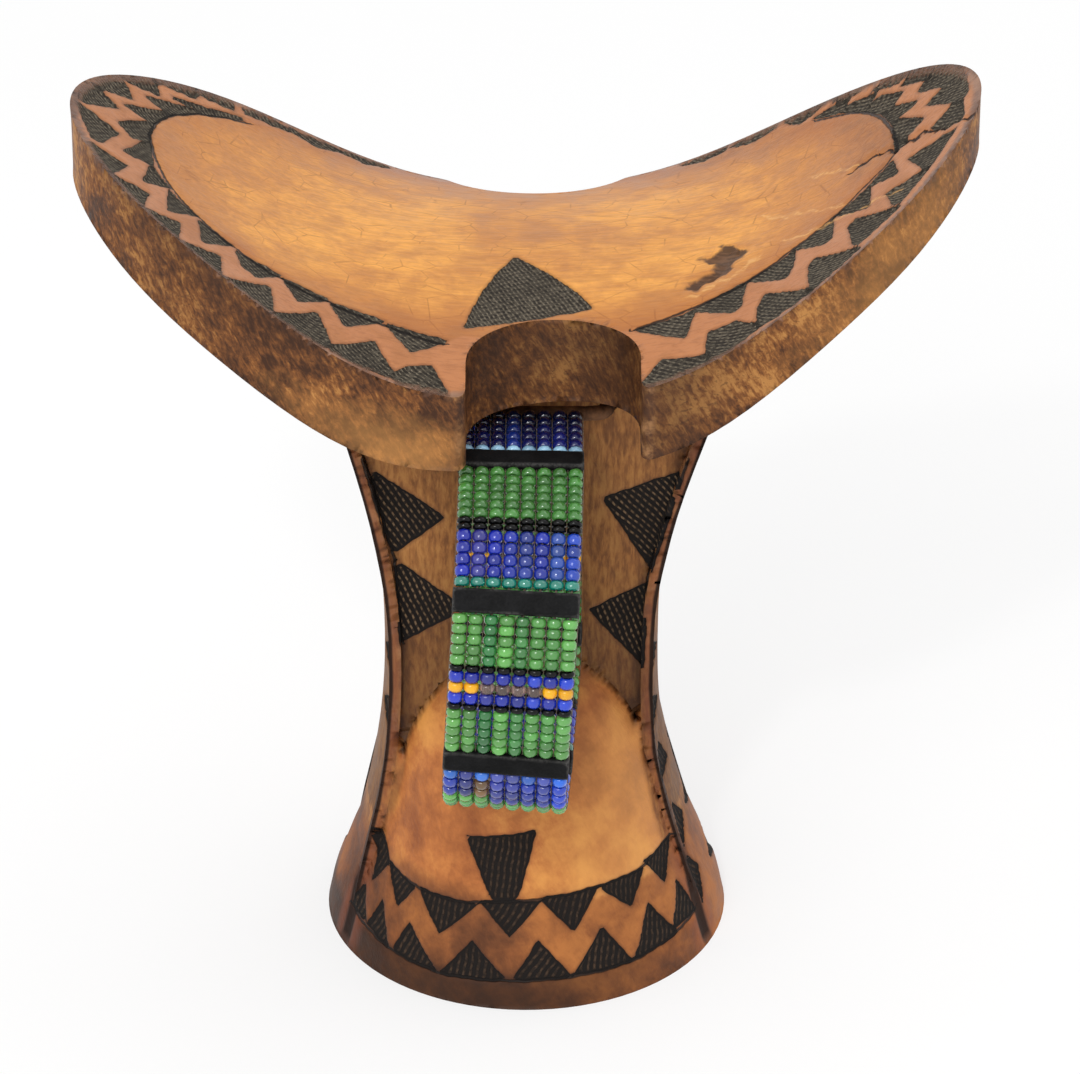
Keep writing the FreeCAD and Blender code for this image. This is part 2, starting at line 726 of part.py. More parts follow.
# Strings: one thin cord for each column of beads, its ends meeting inside a bead of the fold.
stringShapes = []
meetingEdge = 14
volumeShare = 0.02
for column in range(columnCount):
    route = columnRoutes[column]
    turned = route[meetingEdge:] + route[:meetingEdge]
    firstEdge = turned[0]
    cutPlace = firstEdge.getParameterByLength(firstEdge.Length / 2)
    stop = firstEdge.getParameterByLength(firstEdge.Length / 2 - size("stringEndGap"))
    opening = firstEdge.Curve.toShape(cutPlace, firstEdge.LastParameter)
    closing = firstEdge.Curve.toShape(firstEdge.FirstParameter, stop)
    path = [opening] + turned[1:] + [closing]
    string = tube(path, size("stringDiameter"))
    stringShapes.append(string)
    expected = routeLength(path) * math.pi * size("stringDiameter") ** 2 / 4
    if abs(string.Volume - expected) > volumeShare * expected:
        raise ValueError(f"string {column} has volume {string.Volume}, expected {expected}")
strings = formed("strings", Part.makeCompound(stringShapes))
strings.Label = "bead_strings"
pieces.append(strings)

doc.recompute()
failed = [thing.Name for thing in doc.Objects if "Invalid" in thing.State or "Error" in thing.State]
if failed:
    raise ValueError(f"these objects failed: {failed}")
for piece in pieces:
    shape = piece.Shape
    if shape.isNull() or not shape.isValid() or not shape.Solids:
        raise ValueError(f"{piece.Label} has no valid solid")
for piece in pieces:
    piece.Shape.exportStep(f"parts/{piece.Label}.step")
print(len(pieces), "pieces written")
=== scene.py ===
import math
import random

import bmesh
import bpy
import numpy as np
from mathutils import Matrix, Vector, noise
from mathutils.bvhtree import BVHTree
from mathutils.kdtree import KDTree


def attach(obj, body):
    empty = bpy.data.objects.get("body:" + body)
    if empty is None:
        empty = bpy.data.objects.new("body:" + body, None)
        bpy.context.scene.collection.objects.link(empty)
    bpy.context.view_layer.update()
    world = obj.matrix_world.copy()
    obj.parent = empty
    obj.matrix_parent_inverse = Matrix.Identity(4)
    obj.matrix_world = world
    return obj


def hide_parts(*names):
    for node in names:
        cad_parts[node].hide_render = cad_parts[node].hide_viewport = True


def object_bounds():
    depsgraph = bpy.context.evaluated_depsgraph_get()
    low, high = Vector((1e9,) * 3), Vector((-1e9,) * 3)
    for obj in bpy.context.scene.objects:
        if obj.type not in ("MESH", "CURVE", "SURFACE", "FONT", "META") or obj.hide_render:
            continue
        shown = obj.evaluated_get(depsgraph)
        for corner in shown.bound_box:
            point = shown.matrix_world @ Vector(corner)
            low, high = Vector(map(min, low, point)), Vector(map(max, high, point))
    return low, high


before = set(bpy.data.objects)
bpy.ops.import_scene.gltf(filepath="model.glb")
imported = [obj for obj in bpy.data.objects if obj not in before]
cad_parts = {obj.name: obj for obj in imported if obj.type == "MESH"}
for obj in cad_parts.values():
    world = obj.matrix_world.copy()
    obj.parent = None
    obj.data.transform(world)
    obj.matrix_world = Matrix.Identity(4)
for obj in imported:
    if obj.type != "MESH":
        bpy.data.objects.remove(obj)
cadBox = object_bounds()
scene = bpy.context.scene
mm = 0.001
# The saddle seen from above, in millimetres: half its straight part, and the reach of its ends
straightHalf, endLength, endDepth = 16.2, 71, 45.5

# Small helpers for objects and meshes
def newObject(name, data):
    made = bpy.data.objects.new(name, data)
    scene.collection.objects.link(made)
    return made


def placeObject(name, data, body, slotName, *nodes):
    piece = newObject(name, data)
    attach(piece, body)
    if nodes:
        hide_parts(*nodes)
    return piece


def meshFrom(bm, name, smooth=True):
    data = bpy.data.meshes.new(name)
    bm.to_mesh(data)
    bm.free()
    for face in data.polygons:
        face.use_smooth = smooth
    return data


def remeshed(name, shape, voxel):
    # A mesh or curve rebuilt with small even faces, as a mesh of its own
    helper = newObject(name + "Helper", shape)
    remesh = helper.modifiers.new("remesh", "REMESH")
    remesh.mode = "VOXEL"
    remesh.voxel_size = voxel
    remesh.use_smooth_shade = True
    bpy.context.view_layer.update()
    graph = bpy.context.evaluated_depsgraph_get()
    data = bpy.data.meshes.new_from_object(helper.evaluated_get(graph), depsgraph=graph)
    data.name = name
    bpy.data.objects.remove(helper)
    return data


def remeshedCopy(name, nodeName, voxel):
    # A merged copy of a CAD node, remeshed
    bm = bmesh.new()
    bm.from_mesh(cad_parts[nodeName].data)
    bmesh.ops.remove_doubles(bm, verts=bm.verts, dist=1e-6)
    return remeshed(name, meshFrom(bm, name + "Helper"), voxel)


def pointsOf(data):
    points = np.empty(len(data.vertices) * 3)
    data.vertices.foreach_get("co", points)
    return points.reshape(-1, 3)


def normalsOf(data):
    normals = np.empty(len(data.vertices) * 3, np.float32)
    data.vertex_normals.foreach_get("vector", normals)
    return normals.reshape(-1, 3).astype(float)


def movePoints(data, points):
    data.vertices.foreach_set("co", points.ravel())
    data.update()


def saveAttribute(data, name, values):
    attribute = data.attributes.new(name, "FLOAT", "POINT")
    attribute.data.foreach_set("value", np.ascontiguousarray(values, np.float32))


# Camera: level with the photograph's, looking down at the front
cameraSettings = {
    "target": (0.0028, 0.0, 0.086),
    "distance": 1.15,
    "lookDown": 30.0,
    "lens": 191.7,
}


def makeCamera(settings):
    data = bpy.data.cameras.new("frontCamera")
    data.sensor_width = 36
    data.lens = settings["lens"]
    camera = newObject("frontCamera", data)
    tilt = math.radians(settings["lookDown"])
    back = Vector((0, -math.cos(tilt), math.sin(tilt)))
    camera.location = Vector(settings["target"]) + settings["distance"] * back
    camera.rotation_euler = (math.pi / 2 - tilt, 0, 0)
    scene.camera = camera


makeCamera(cameraSettings)


# Helpers for materials
def paint(red, green, blue):
    def linear(value):
        share = value / 255
        return share / 12.92 if share <= 0.04045 else ((share + 0.055) / 1.055) ** 2.4
    return (linear(red), linear(green), linear(blue), 1.0)


def newMaterial(name):
    material = bpy.data.materials.new(name)
    material.use_nodes = True
    return material, material.node_tree, material.node_tree.nodes["Principled BSDF"]


class Value:
    # A number or colour that a material's nodes work out, so that sums read as sums
    def __init__(self, socket):
        self.socket = socket

    def __add__(self, other):
        return calc("ADD", self, other)

    def __sub__(self, other):
        return calc("SUBTRACT", self, other)

    def __rsub__(self, other):
        return calc("SUBTRACT", other, self)

    def __mul__(self, other):
        return calc("MULTIPLY", self, other)

    def __abs__(self):
        return calc("ABSOLUTE", self)

    def newNode(self, kind):
        return self.socket.id_data.nodes.new(kind)


def feed(socket, value):
    if isinstance(value, Value):
        socket.id_data.links.new(value.socket, socket)
    else:
        socket.default_value = value


def calc(operation, *values):
    node = next(value for value in values if isinstance(value, Value)).newNode("ShaderNodeMath")
    node.operation = operation
    for socket, value in zip(node.inputs, values):
        feed(socket, value)
    return Value(node.outputs[0])


def stepBetween(value, low, high, first=0.0, last=1.0):
    node = value.newNode("ShaderNodeMapRange")
    node.interpolation_type = "SMOOTHSTEP"
    for socket, given in zip(node.inputs, (value, low, high, first, last)):
        feed(socket, given)
    return Value(node.outputs[0])


def mixPaint(share, first, second, way="MIX"):
    node = share.newNode("ShaderNodeMix")
    node.data_type = "RGBA"
    node.blend_type = way
    feed(node.inputs[0], share)
    feed(node.inputs[6], first)
    feed(node.inputs[7], second)
    return Value(node.outputs[2])


def rampOf(value, stops):
    node = value.newNode("ShaderNodeValToRGB")
    ramp = node.color_ramp
    while len(ramp.elements) < len(stops):
        ramp.elements.new(0.5)
    for element, (place, colour) in zip(ramp.elements, stops):
        element.position = place
        element.color = colour
    feed(node.inputs[0], value)
    return Value(node.outputs[0])


def readAttribute(tree, name, output="Fac"):
    node = tree.nodes.new("ShaderNodeAttribute")
    node.attribute_name = name
    return Value(node.outputs[output])


def stretched(tree, scale, lean=0.0):
    # Object coordinates, leant over in front view, then multiplied to a feature's size
    coordinates = tree.nodes.new("ShaderNodeTexCoord")
    leant = tree.nodes.new("ShaderNodeMapping")
    leant.inputs["Rotation"].default_value = (0, lean, 0)
    mapping = tree.nodes.new("ShaderNodeMapping")
    mapping.inputs["Scale"].default_value = scale
    tree.links.new(coordinates.outputs["Object"], leant.inputs["Vector"])
    tree.links.new(leant.outputs[0], mapping.inputs["Vector"])
    return Value(mapping.outputs[0])


def speckle(tree, scale, detail=4.0, roughness=0.55, warp=0.0, lean=0.0):
    node = tree.nodes.new("ShaderNodeTexNoise")
    for name, value in (("Vector", stretched(tree, scale, lean)), ("Scale", 1.0),
                        ("Detail", detail), ("Roughness", roughness), ("Distortion", warp)):
        feed(node.inputs[name], value)
    return Value(node.outputs[0])


def crazing(tree, scale):
    # Distance to the cells' borders, for a net of fine cracks
    node = tree.nodes.new("ShaderNodeTexVoronoi")
    node.feature = "DISTANCE_TO_EDGE"
    feed(node.inputs["Vector"], stretched(tree, scale, 0.3))
    feed(node.inputs["Scale"], 1.0)
    return Value(node.outputs["Distance"])


def bumpOf(height, depth, strength=1.0, under=None):
    node = height.newNode("ShaderNodeBump")
    feed(node.inputs["Distance"], depth)
    feed(node.inputs["Strength"], strength)
    feed(node.inputs["Height"], height)
    if under is not None:
        feed(node.inputs["Normal"], under)
    return Value(node.outputs[0])


# Leather for the thong, its knot and its tails, and for the bars of the bead loop
leatherSettings = {
    "thongDark": paint(44, 28, 20),
    "thongLight": paint(112, 76, 50),
    "barDark": paint(7, 7, 8),
    "barLight": paint(19, 19, 20),
    "barWorn": paint(84, 82, 80),
}


def leatherMaterial(name, dark, light, worn, grain):
    material, tree, shader = newMaterial(name)
    patches = speckle(tree, (260, 260, 260), 5.0, 0.6)
    pores = speckle(tree, (grain, grain, grain), 3.0, 0.7, 0.4)
    colour = mixPaint(stepBetween(patches, 0.3, 0.72), dark, light)
    colour = mixPaint(stepBetween(pores, 0.62, 0.8, 0.0, 0.4), colour, dark)
    edge = stepBetween(readAttribute(tree, "edge"), 0.25, 0.9)
    rub = edge * stepBetween(pores, 0.35, 0.6, 0.15, 0.8)
    feed(shader.inputs["Base Color"], mixPaint(rub, colour, worn))
    feed(shader.inputs["Roughness"], stepBetween(pores, 0.3, 0.7, 0.5, 0.72))
    creases = bumpOf(patches, 0.0003, 0.5)
    feed(shader.inputs["Normal"], bumpOf(pores, 0.00012, 0.6, creases))
    shader.inputs["Specular IOR Level"].default_value = 0.12
    return material


thongLeather = leatherMaterial("thongLeather", leatherSettings["thongDark"],
                               leatherSettings["thongLight"], paint(140, 100, 70), 1500)
barLeather = leatherMaterial("barLeather", leatherSettings["barDark"],
                             leatherSettings["barLight"], leatherSettings["barWorn"], 1900)

# Tails of the thong behind the neck: two free ends of leather
tailSettings = {
    "thickness": 0.0029,
    "leftRoute": [(-2.8, 17.9, 120.25), (-3.2, 17.9, 109.45), (-5.2, 18.3, 97.93),
                  (-5.6, 17.9, 84.25)],
    "rightRoute": [(1.2, 17.9, 120.25), (1.6, 17.9, 110.746), (3.6, 18.3, 100.608),
                   (4.0, 17.9, 88.57)],
}


def newCurve(name, thickness, rings, steps):
    curve = bpy.data.curves.new(name, "CURVE")
    curve.dimensions = "3D"
    curve.bevel_depth = thickness / 2
    curve.bevel_resolution = rings
    curve.resolution_u = steps
    return curve


def addLine(curve, route, cyclic, share=1.0):
    spline = curve.splines.new("NURBS")
    spline.points.add(len(route) - 1)
    for point, place in zip(spline.points, route):
        point.co = (*place, 1)
        point.radius = share
    spline.use_cyclic_u = cyclic
    spline.use_endpoint_u = not cyclic
    spline.order_u = 3


def routeCurve(name, route, thickness, cyclic=False, rings=3):
    curve = newCurve(name, thickness, rings, 8)
    curve.use_fill_caps = True
    addLine(curve, [Vector(place) * mm for place in route], cyclic)
    return curve


def routeLength(curve):
    # Length of the curve's own line
    line = curve.copy()
    line.bevel_depth = 0
    helper = bpy.data.objects.new("lineHelper", line)
    data = bpy.data.meshes.new_from_object(helper)
    points = pointsOf(data)
    bpy.data.objects.remove(helper)
    return float(np.linalg.norm(np.diff(points, axis=0), axis=1).sum())


def makeTails(settings):
    for side in ("left", "right"):
        route = settings[side + "Route"]
        curve = routeCurve(side + "ThongTail", route, settings["thickness"], rings=4)
        curve.materials.append(thongLeather)
        length = routeLength(curve)
        tail = placeObject(side + "ThongTail", curve, "headrest", "thong_leather", "thong_tails")
        print("tail", side, round(length * 1000, 1), "mm")


makeTails(tailSettings)
print("camera and tails made")

# Carved figures, in millimetres. On the saddle they are seen from above (x, y), in two rows.
outerFigures = [
    # left wing, front to tip
    [(-25, -42.5), (-22, -40.1), (-17.8, -38.7), (-14.6, -44.5)],
    [(-36.7, -41.1), (-28.6, -35.5), (-25, -42.5)],
    [(-47.4, -40), (-39.3, -32.5), (-36.5, -41)],
    [(-56.8, -37.3), (-48.3, -30.6), (-47.2, -39.8)],
    [(-65.3, -32.8), (-57.7, -28.6), (-57, -37.2)],
    [(-72.5, -27.7), (-65.3, -24.3), (-65.3, -32.8)],
    [(-78.4, -20.9), (-71.4, -19.2), (-72.2, -27.9)],
    [(-81.8, -12.3), (-75.7, -13), (-78.2, -20.3)],
    [(-84.5, 0.7), (-78, -1.6), (-80.8, -9.7)],
    [(-84.4, 2.4), (-83.8, 8.1), (-82.3, 11.1), (-78.6, 8.3)],
    [(-82.2, 11.9), (-79, 18.3), (-77.9, 19.1), (-76.4, 14.8)],
    [(-77.7, 20.3), (-72.6, 26.6), (-71.8, 22.3)],
    [(-72.1, 26.7), (-65.9, 32.3), (-64.7, 29.4)],
    [(-64.8, 31.2), (-58, 35.6), (-57.9, 33.2)],
    [(-55.5, 34.7), (-52.9, 36.6), (-46.6, 37.9)],
    [(-46.6, 38), (-36.8, 40.7), (-41, 37.5)],
    [(-37, 40.7), (-27.5, 42.4), (-32, 39.3)],
    # right wing
    [(21.2, -45), (25.7, -38.8), (34, -41), (33, -43.6)],
    [(33.9, -43.1), (34.7, -34.4), (39.7, -34.1), (43.4, -38)],
    [(43.7, -37.8), (44.2, -31.8), (45.5, -28.7), (53.8, -35.8)],
    [(53.6, -35.1), (53.8, -25.8), (55.2, -24.4), (62.1, -30.7)],
    [(62, -28.6), (61.5, -19.2), (62.8, -17.7), (69.6, -24.7)],
    [(69.7, -23), (68.7, -15.6), (75.3, -17.5)],
    [(75.6, -16.9), (73.3, -7.8), (80.4, -9.7)],
    [(80, -7.3), (77.8, -2.6), (81.9, 0.5), (81.9, -6.8)],
    [(83, 0.1), (77.4, 8), (80.8, 9.9), (83.3, 7.8)],
    [(83.3, 7.8), (80.6, 10.7), (76.2, 15.3), (79, 19.1), (81.8, 14.5)],
    [(79, 18.8), (77.7, 18.1), (73.5, 22.3), (75.5, 24.5)],
    [(73.3, 24), (68.2, 27.7), (74.8, 25.1)],
    [(67.9, 31), (66, 30.9), (62.6, 31.7), (60.6, 34.8)],
    [(59, 35.4), (51.5, 37.8), (54.5, 34.2)],
    [(50, 38), (41, 40.3), (45.5, 37.7)],
    [(40, 40.5), (31, 42), (35.5, 39.6)],
]
innerFigures = [
    # left wing
    [(-26.2, -29.8), (-15.2, -32), (-21.6, -35.9)],
    [(-36.9, -27.6), (-27.1, -29), (-34.1, -33.3)],
    [(-46.1, -25.2), (-37.3, -27), (-42.9, -30.9)],
    [(-54.9, -22.8), (-46.6, -24.6), (-50.6, -29.1), (-53.3, -27.9)],
    [(-61.9, -18.1), (-55.7, -21.5), (-60.8, -26.6)],
    [(-67.8, -13), (-62.7, -16.8), (-67.5, -21.7)],
    [(-71.6, -7.2), (-67.9, -11.4), (-72.5, -15.1)],
    [(-72.7, 2.9), (-71.7, -6.2), (-76.6, -7.8)],
    [(-72.6, 10.8), (-72.9, 2.6), (-75.6, 0.4), (-78.3, 2.9)],
    [(-77.7, 11.1), (-73.6, 14.6), (-69.5, 18.4), (-72.6, 10.8)],
    [(-74.1, 19), (-68.8, 22.7), (-64.1, 25.4), (-69.5, 18.4)],
    [(-69.3, 24.8), (-62.3, 28.5), (-56.2, 32.4), (-62.2, 26.7)],
    # right wing
    [(21.1, -29.4), (32.1, -26.8), (30.3, -33.8)],
    [(31.9, -26.3), (41.9, -21.6), (40.7, -29.6), (39.5, -30.5)],
    [(42.4, -21.6), (51.3, -17), (50.8, -22.9), (49.3, -26)],
    [(51.6, -16.2), (58.8, -11.7), (58.2, -19.6), (57, -20.1)],
    [(59.3, -10.8), (65.8, -8.2), (65.4, -16.2)],
    [(66.1, -7.5), (70.2, -3.9), (71, -10.5)],
    [(71.3, -0.8), (71.7, 6), (73.4, -1.2)],
    [(71.5, 5.8), (71.5, 12), (76.7, 3.5), (72.9, 1.4)],
    [(69.5, 18.7), (71.5, 11.5), (76, 12.2), (72.4, 15.9)],
    [(66.6, 23.9), (70.6, 16.6), (73.6, 19.7), (69.5, 24)],
    [(62.5, 29), (66.6, 23.7), (68.9, 25.9), (64.9, 28.6)],
    [(57.3, 33), (62.5, 29), (64, 31.2), (60.9, 32.4)],
]
notchFigure = [(-1.9, -4), (4.5, -10.5), (9.6, -16.6), (12.6, -21.8), (1, -24.6), (-11.5, -27.5),
               (-8.4, -17.5), (-5, -9.5)]
saddleLines = [
    [(-55, 31.8), (-62.2, 27), (-69.4, 18.5), (-72.7, 8.3), (-72, 1.7), (-69.6, -6.9),
     (-66.1, -12.8), (-60.6, -18.1), (-54, -22.2), (-47.5, -25),
     (-37.7, -27.2), (-27.8, -29.5), (-15.4, -32.5)],
    [(20.5, -29), (32.3, -25.2), (42.3, -21.5), (51.6, -15.1), (60.3, -10), (65.6, -5.4),
     (71, -2.5), (71.5, 4), (69.8, 15.4), (65.7, 24.6), (57.5, 31.5)],
]
rearRim = [(50, 37), (36, 41.5), (18, 45), (-18, 45), (-36, 41.5), (-48, 37.5)]
# On the neck's front and rear faces (x, z)
neckFigures = [
    [(-30.7, 109.5), (-16.1, 98.5), (-26.3, 90.3)],
    [(-25.9, 88.8), (-14.6, 79.6), (-14.6, 76.2), (-24.8, 70.1)],
    [(15.3, 102.8), (30.7, 108.9), (24.6, 87.1)],
    [(12.7, 77.3), (24.1, 83.6), (23.2, 64.8)],
]
neckLines = [
    [(-32, 113), (-26.3, 90.3), (-25.9, 88.8), (-24.8, 70.1)],
    [(31.6, 112), (24.6, 87.1), (24.1, 83.6), (23.2, 64.8)],
]
# On the round foot, front and rear (degrees round from the middle, z)
footFigures = [
    [(-63.1, 26.6), (-53.9, 21.7), (-59.8, 16.2)],
    [(-53.3, 22.2), (-38.9, 20.6), (-44.4, 15.6)],
    [(-36.8, 21.2), (-15.9, 21.5), (-26.6, 14.2)],
    [(-14.4, 22.5), (4, 23), (-4.7, 16.1)],
    [(4.7, 23.8), (23.3, 24.1), (14.5, 16.4)],
    [(24.2, 24.2), (42.8, 23.8), (34.8, 17.9)],
    [(44.1, 24.9), (61.3, 25.2), (51.8, 18.5)],
    [(-66.4, 8.7), (-63, 14.7), (-56.6, 8.4)],
    [(-55.4, 8.2), (-50.9, 14.8), (-44.6, 6.5)],
    [(-42.6, 6.6), (-38, 13.5), (-26.5, 5.7)],
    [(-25.5, 5.6), (-16, 13.9), (-5.9, 6.4)],
    [(-3.5, 6.8), (3.7, 14.9), (13.1, 6.7)],
    [(14.1, 7.1), (23.3, 15.7), (32.6, 6.8)],
    [(33.5, 7.1), (41.6, 16.7), (51, 7.8)],
    [(49.7, 9), (57.9, 16.8), (62.8, 8.9)],
    [(-20.1, 35.3), (3.2, 38), (-3, 23.6), (-10.5, 23.4)],
]
footLines = [
    [(-63, 27.2), (-53.6, 22), (-37.5, 21), (-24.6, 21.1), (-6.5, 22.9), (5.9, 23.7),
     (22.5, 24.2), (42.5, 23.9), (61.4, 25.7)],
    [(-67, 8.6), (-55.5, 7.4), (-42, 6.3), (-26, 5.6), (-6, 6.3), (13, 6.6), (32.6, 6.8),
     (51.4, 7.9), (63.5, 8.8)],
]
# Wear on the saddle (x, y): cracks at the right tip, a gouge and pale scratches
crackLines = [
    [(85.5, -11), (82.4, -7.4), (79.5, -6.4), (78.2, -3.6), (75, -1.2), (73, 0.1)],
    [(71.1, -0.5), (68.4, 2.3), (65.1, 4), (63.2, 3.6)],
]
gougeFigure = [(29.6, -19.7), (33.8, -19.4), (37.8, -17.6), (40.1, -13.4), (43, -10.4), (38.6, -5),
               (36.8, -7.8), (33.2, -9.2), (36.8, -11.4), (34.8, -14.8), (31, -16.4)]
scratchLines = [
    [(46.5, 1.7), (53, -2.6), (60.4, -7.9)],
    [(56.4, 9.7), (62.9, 4.8)],
    [(50, -11.5), (60, -12.6), (70, -17)],
    [(32, -21.5), (40, -17.8), (45, -13.5)],
]


# The carved body. The last table follows the neck's ribs: height, then the half width and the
# middle's place at that height.
bodySettings = {
    "voxel": 0.00095,
    "easeRounds": 10,
    "cornerRounds": 3,
    "edgeReach": 0.0011,
    "carveDepth": 0.5,
    "carveSlope": 0.5,
    "grooveDepth": 0.35,
    "grooveWidth": 0.8,
    "handWobble": 0.14,
    "rimReach": 1.6,
    "lipStart": 0.974,
    "grow": 0.3,
    "figureMargin": 2.2,
    "leanChange": 14,
    "toolDepth": 0.16,
    "sideRowPitch": 12.5,
    "footArc": 38.0,
    "ribPath": [(0, 37.5, 0), (9, 35.3, -0.1), (20, 32.6, -0.5), (33, 29.4, -0.8), (45, 27.3, -1.1),
                (60, 26.3, -1), (72, 26.4, -1), (81, 27, -1), (90, 28.4, -0.8), (99, 30.3, -0.7),
                (108, 32.8, -0.4), (118, 35.7, -0.1), (128, 39.3, 0)],
}


def insideDistance(points, corners):
    # Distance to a figure's outline, above zero inside it
    inside = np.zeros(len(points), bool)
    nearest = np.full(len(points), 99.0)
    for (ax, ay), (bx, by) in zip(corners, corners[1:] + corners[:1]):
        run = np.array([bx - ax, by - ay])
        offset = points - (ax, ay)
        share = np.clip(offset @ run / (run @ run), 0, 1)
        nearest = np.minimum(nearest, np.linalg.norm(offset - share[:, None] * run, axis=1))
        crosses = (ay > points[:, 1]) != (by > points[:, 1])
        meets = ax + (points[:, 1] - ay) / (by - ay or 1e-9) * (bx - ax)
        inside ^= crosses & (points[:, 0] < meets)
    return np.where(inside, nearest, -nearest)


def lineDistance(points, line):
    # Distance to a drawn line, below zero on its right
    nearest = np.full(len(points), 99.0)
    for (ax, ay), (bx, by) in zip(line, line[1:]):
        run = np.array([bx - ax, by - ay])
        offset = points - (ax, ay)
        share = np.clip(offset @ run / (run @ run), 0, 1)
        reach = np.linalg.norm(offset - share[:, None] * run, axis=1)
        left = run[0] * offset[:, 1] - run[1] * offset[:, 0] > 0
        nearest = np.where(reach < np.abs(nearest), np.where(left, reach, -reach), nearest)
    return nearest


def rounded(line):
    # Corners of a drawn line cut twice, so that it runs in a curve
    for _ in range(2):
        softer = [line[0]]
        for first, second in zip(np.array(line), np.array(line[1:])):
            softer += [tuple(0.75 * first + 0.25 * second), tuple(0.25 * first + 0.75 * second)]
        line = softer + [line[-1]]
    return line


def closer(first, second):
    return np.where(np.abs(second) < np.abs(first), second, first)


def extendedDistance(points, corners, reach):
    # The figure carried on towards the saddle's edge
    x, y = points.T
    beyond = np.sign(x) * np.maximum(np.abs(x) - straightHalf, 0)
    outward = np.column_stack([beyond / endLength ** 2, y / endDepth ** 2])
    outward /= np.linalg.norm(outward, axis=1)[:, None] + 1e-9
    steps = [insideDistance(points - outward * share * reach, corners)
             for share in (0, 0.25, 0.5, 0.75, 1)]
    return np.max(steps, axis=0)


def wobbled(points, amount):
    # A slow wander, so that carved edges look cut by hand
    shift = np.column_stack([
        np.sin(points[:, 1] * 0.9 + points[:, 0] * 0.31) + np.sin(points[:, 1] * 2.3 + 1.0),
        np.sin(points[:, 0] * 0.8 + points[:, 1] * 0.27) + np.sin(points[:, 0] * 2.1 + 2.0),
    ])
    return points + shift * amount / 2


sideStarts = {
    # On the narrow sides of the neck (y, z), low down, where the foot widens
    "left": [[(13.2, 32), (13.2, 42), (4.6, 37)], [(13.2, 19), (13.2, 29), (4.6, 24)],
             [(13.2, 7), (13.2, 16), (4.6, 12)]],
    "right": [[(-9.1, 43.3), (-5, 37.7), (-15.9, 36.2)],
              [(-10.7, 29.9), (-6.2, 25.1), (-11.8, 20.3)],
              [(-12.6, 18.3), (-10.1, 14.3), (-14.9, 8.3)], [(13.5, 43), (1.1, 38.5), (13.5, 31)],
              [(13.5, 29), (-1.6, 24), (13.5, 18)], [(13.5, 16), (-1.6, 11), (13.5, 5)]],
}


def sideFigures(side, settings):
    # Two rows of triangles up each narrow side, their bases on the two edges
    figures = list(sideStarts[side])
    pitch = settings["sideRowPitch"]
    for step in range(6):
        low = 46 + step * pitch
        figures.append([(-13.2, low), (-13.2, low + 0.84 * pitch), (-4.6, low + 0.45 * pitch)])
        figures.append([(13.2, low - 1), (13.2, low + 0.8 * pitch), (4.6, low + 0.38 * pitch)])
    return figures


def carveRegions(points, normals, settings):
    # Each region: the vertices it takes, their flat places, its figures and lines, hatch angle
    x, y, z = points.T
    rearward = y > 0
    angle = np.arctan2(x, np.abs(y))
    arc = settings["footArc"]
    onTop = (z > 128) & (normals[:, 2] > 0.3)
    onFace = (np.abs(normals[:, 1]) > 0.4) & (np.abs(y) < 17.5) & (z > 26) & (z < 116)
    onFoot = (z < 42) & (np.abs(angle) < math.radians(69)) & (np.abs(y) > 13)
    onSide = (z < 122) & (np.abs(normals[:, 0]) > 0.5) & (np.abs(y) < 15.5)
    scaleFoot, scaleLines = ([[(math.radians(a) * arc, b) for a, b in line] for line in lines]
                             for lines in (footFigures, footLines))
    mirrored = np.where(rearward, -x, x)
    foot = np.where(rearward, -angle, angle) * arc
    seen = np.column_stack([x, y])
    fieldLines = [rounded(line) for line in saddleLines]
    return [
        (onTop, seen, outerFigures, fieldLines, 35, 0.0, settings["rimReach"]),
        (onTop, seen, innerFigures, [], 35, 0.0, -0.4),
        (onTop, seen, [notchFigure], [], 62, 0.0, 0),
        (onFace, np.column_stack([mirrored, z]), neckFigures, neckLines, 58, 2.0, 0),
        (onFoot, np.column_stack([foot, z]), scaleFoot, scaleLines, -70, 1.0, 0),
        (onSide & (x < 0), np.column_stack([y, z]), sideFigures("left", settings), [], -60, 1.0, 0),
        (onSide & (x > 0), np.column_stack([y, z]), sideFigures("right", settings), [], 60, 1.0, 0),
    ]


def neighboursOf(data):
    edges = np.empty(len(data.edges) * 2, np.int64)
    data.edges.foreach_get("vertices", edges)
    return edges.reshape(-1, 2).T


def easedOnce(points, neighbours, share):
    # Every point moved by a share towards the middle of its neighbours
    first, second = neighbours
    counts = np.bincount(np.concatenate([first, second]), minlength=len(points))[:, None]
    total = np.zeros_like(points)
    for axis in range(points.shape[1]):
        total[:, axis] = np.bincount(first, points[second, axis], len(points))
        total[:, axis] += np.bincount(second, points[first, axis], len(points))
    return points + share * (total / counts - points)


def convexity(data, points, normals, rounds):
    # How far each vertex stands out of its smoothed surroundings
    neighbours = neighboursOf(data)
    eased = points
    for _ in range(rounds):
        eased = easedOnce(eased, neighbours, 0.5)
    standing = ((points - eased) * normals).sum(1)[:, None]
    for _ in range(3):
        standing = easedOnce(standing, neighbours, 0.5)
    return standing[:, 0]


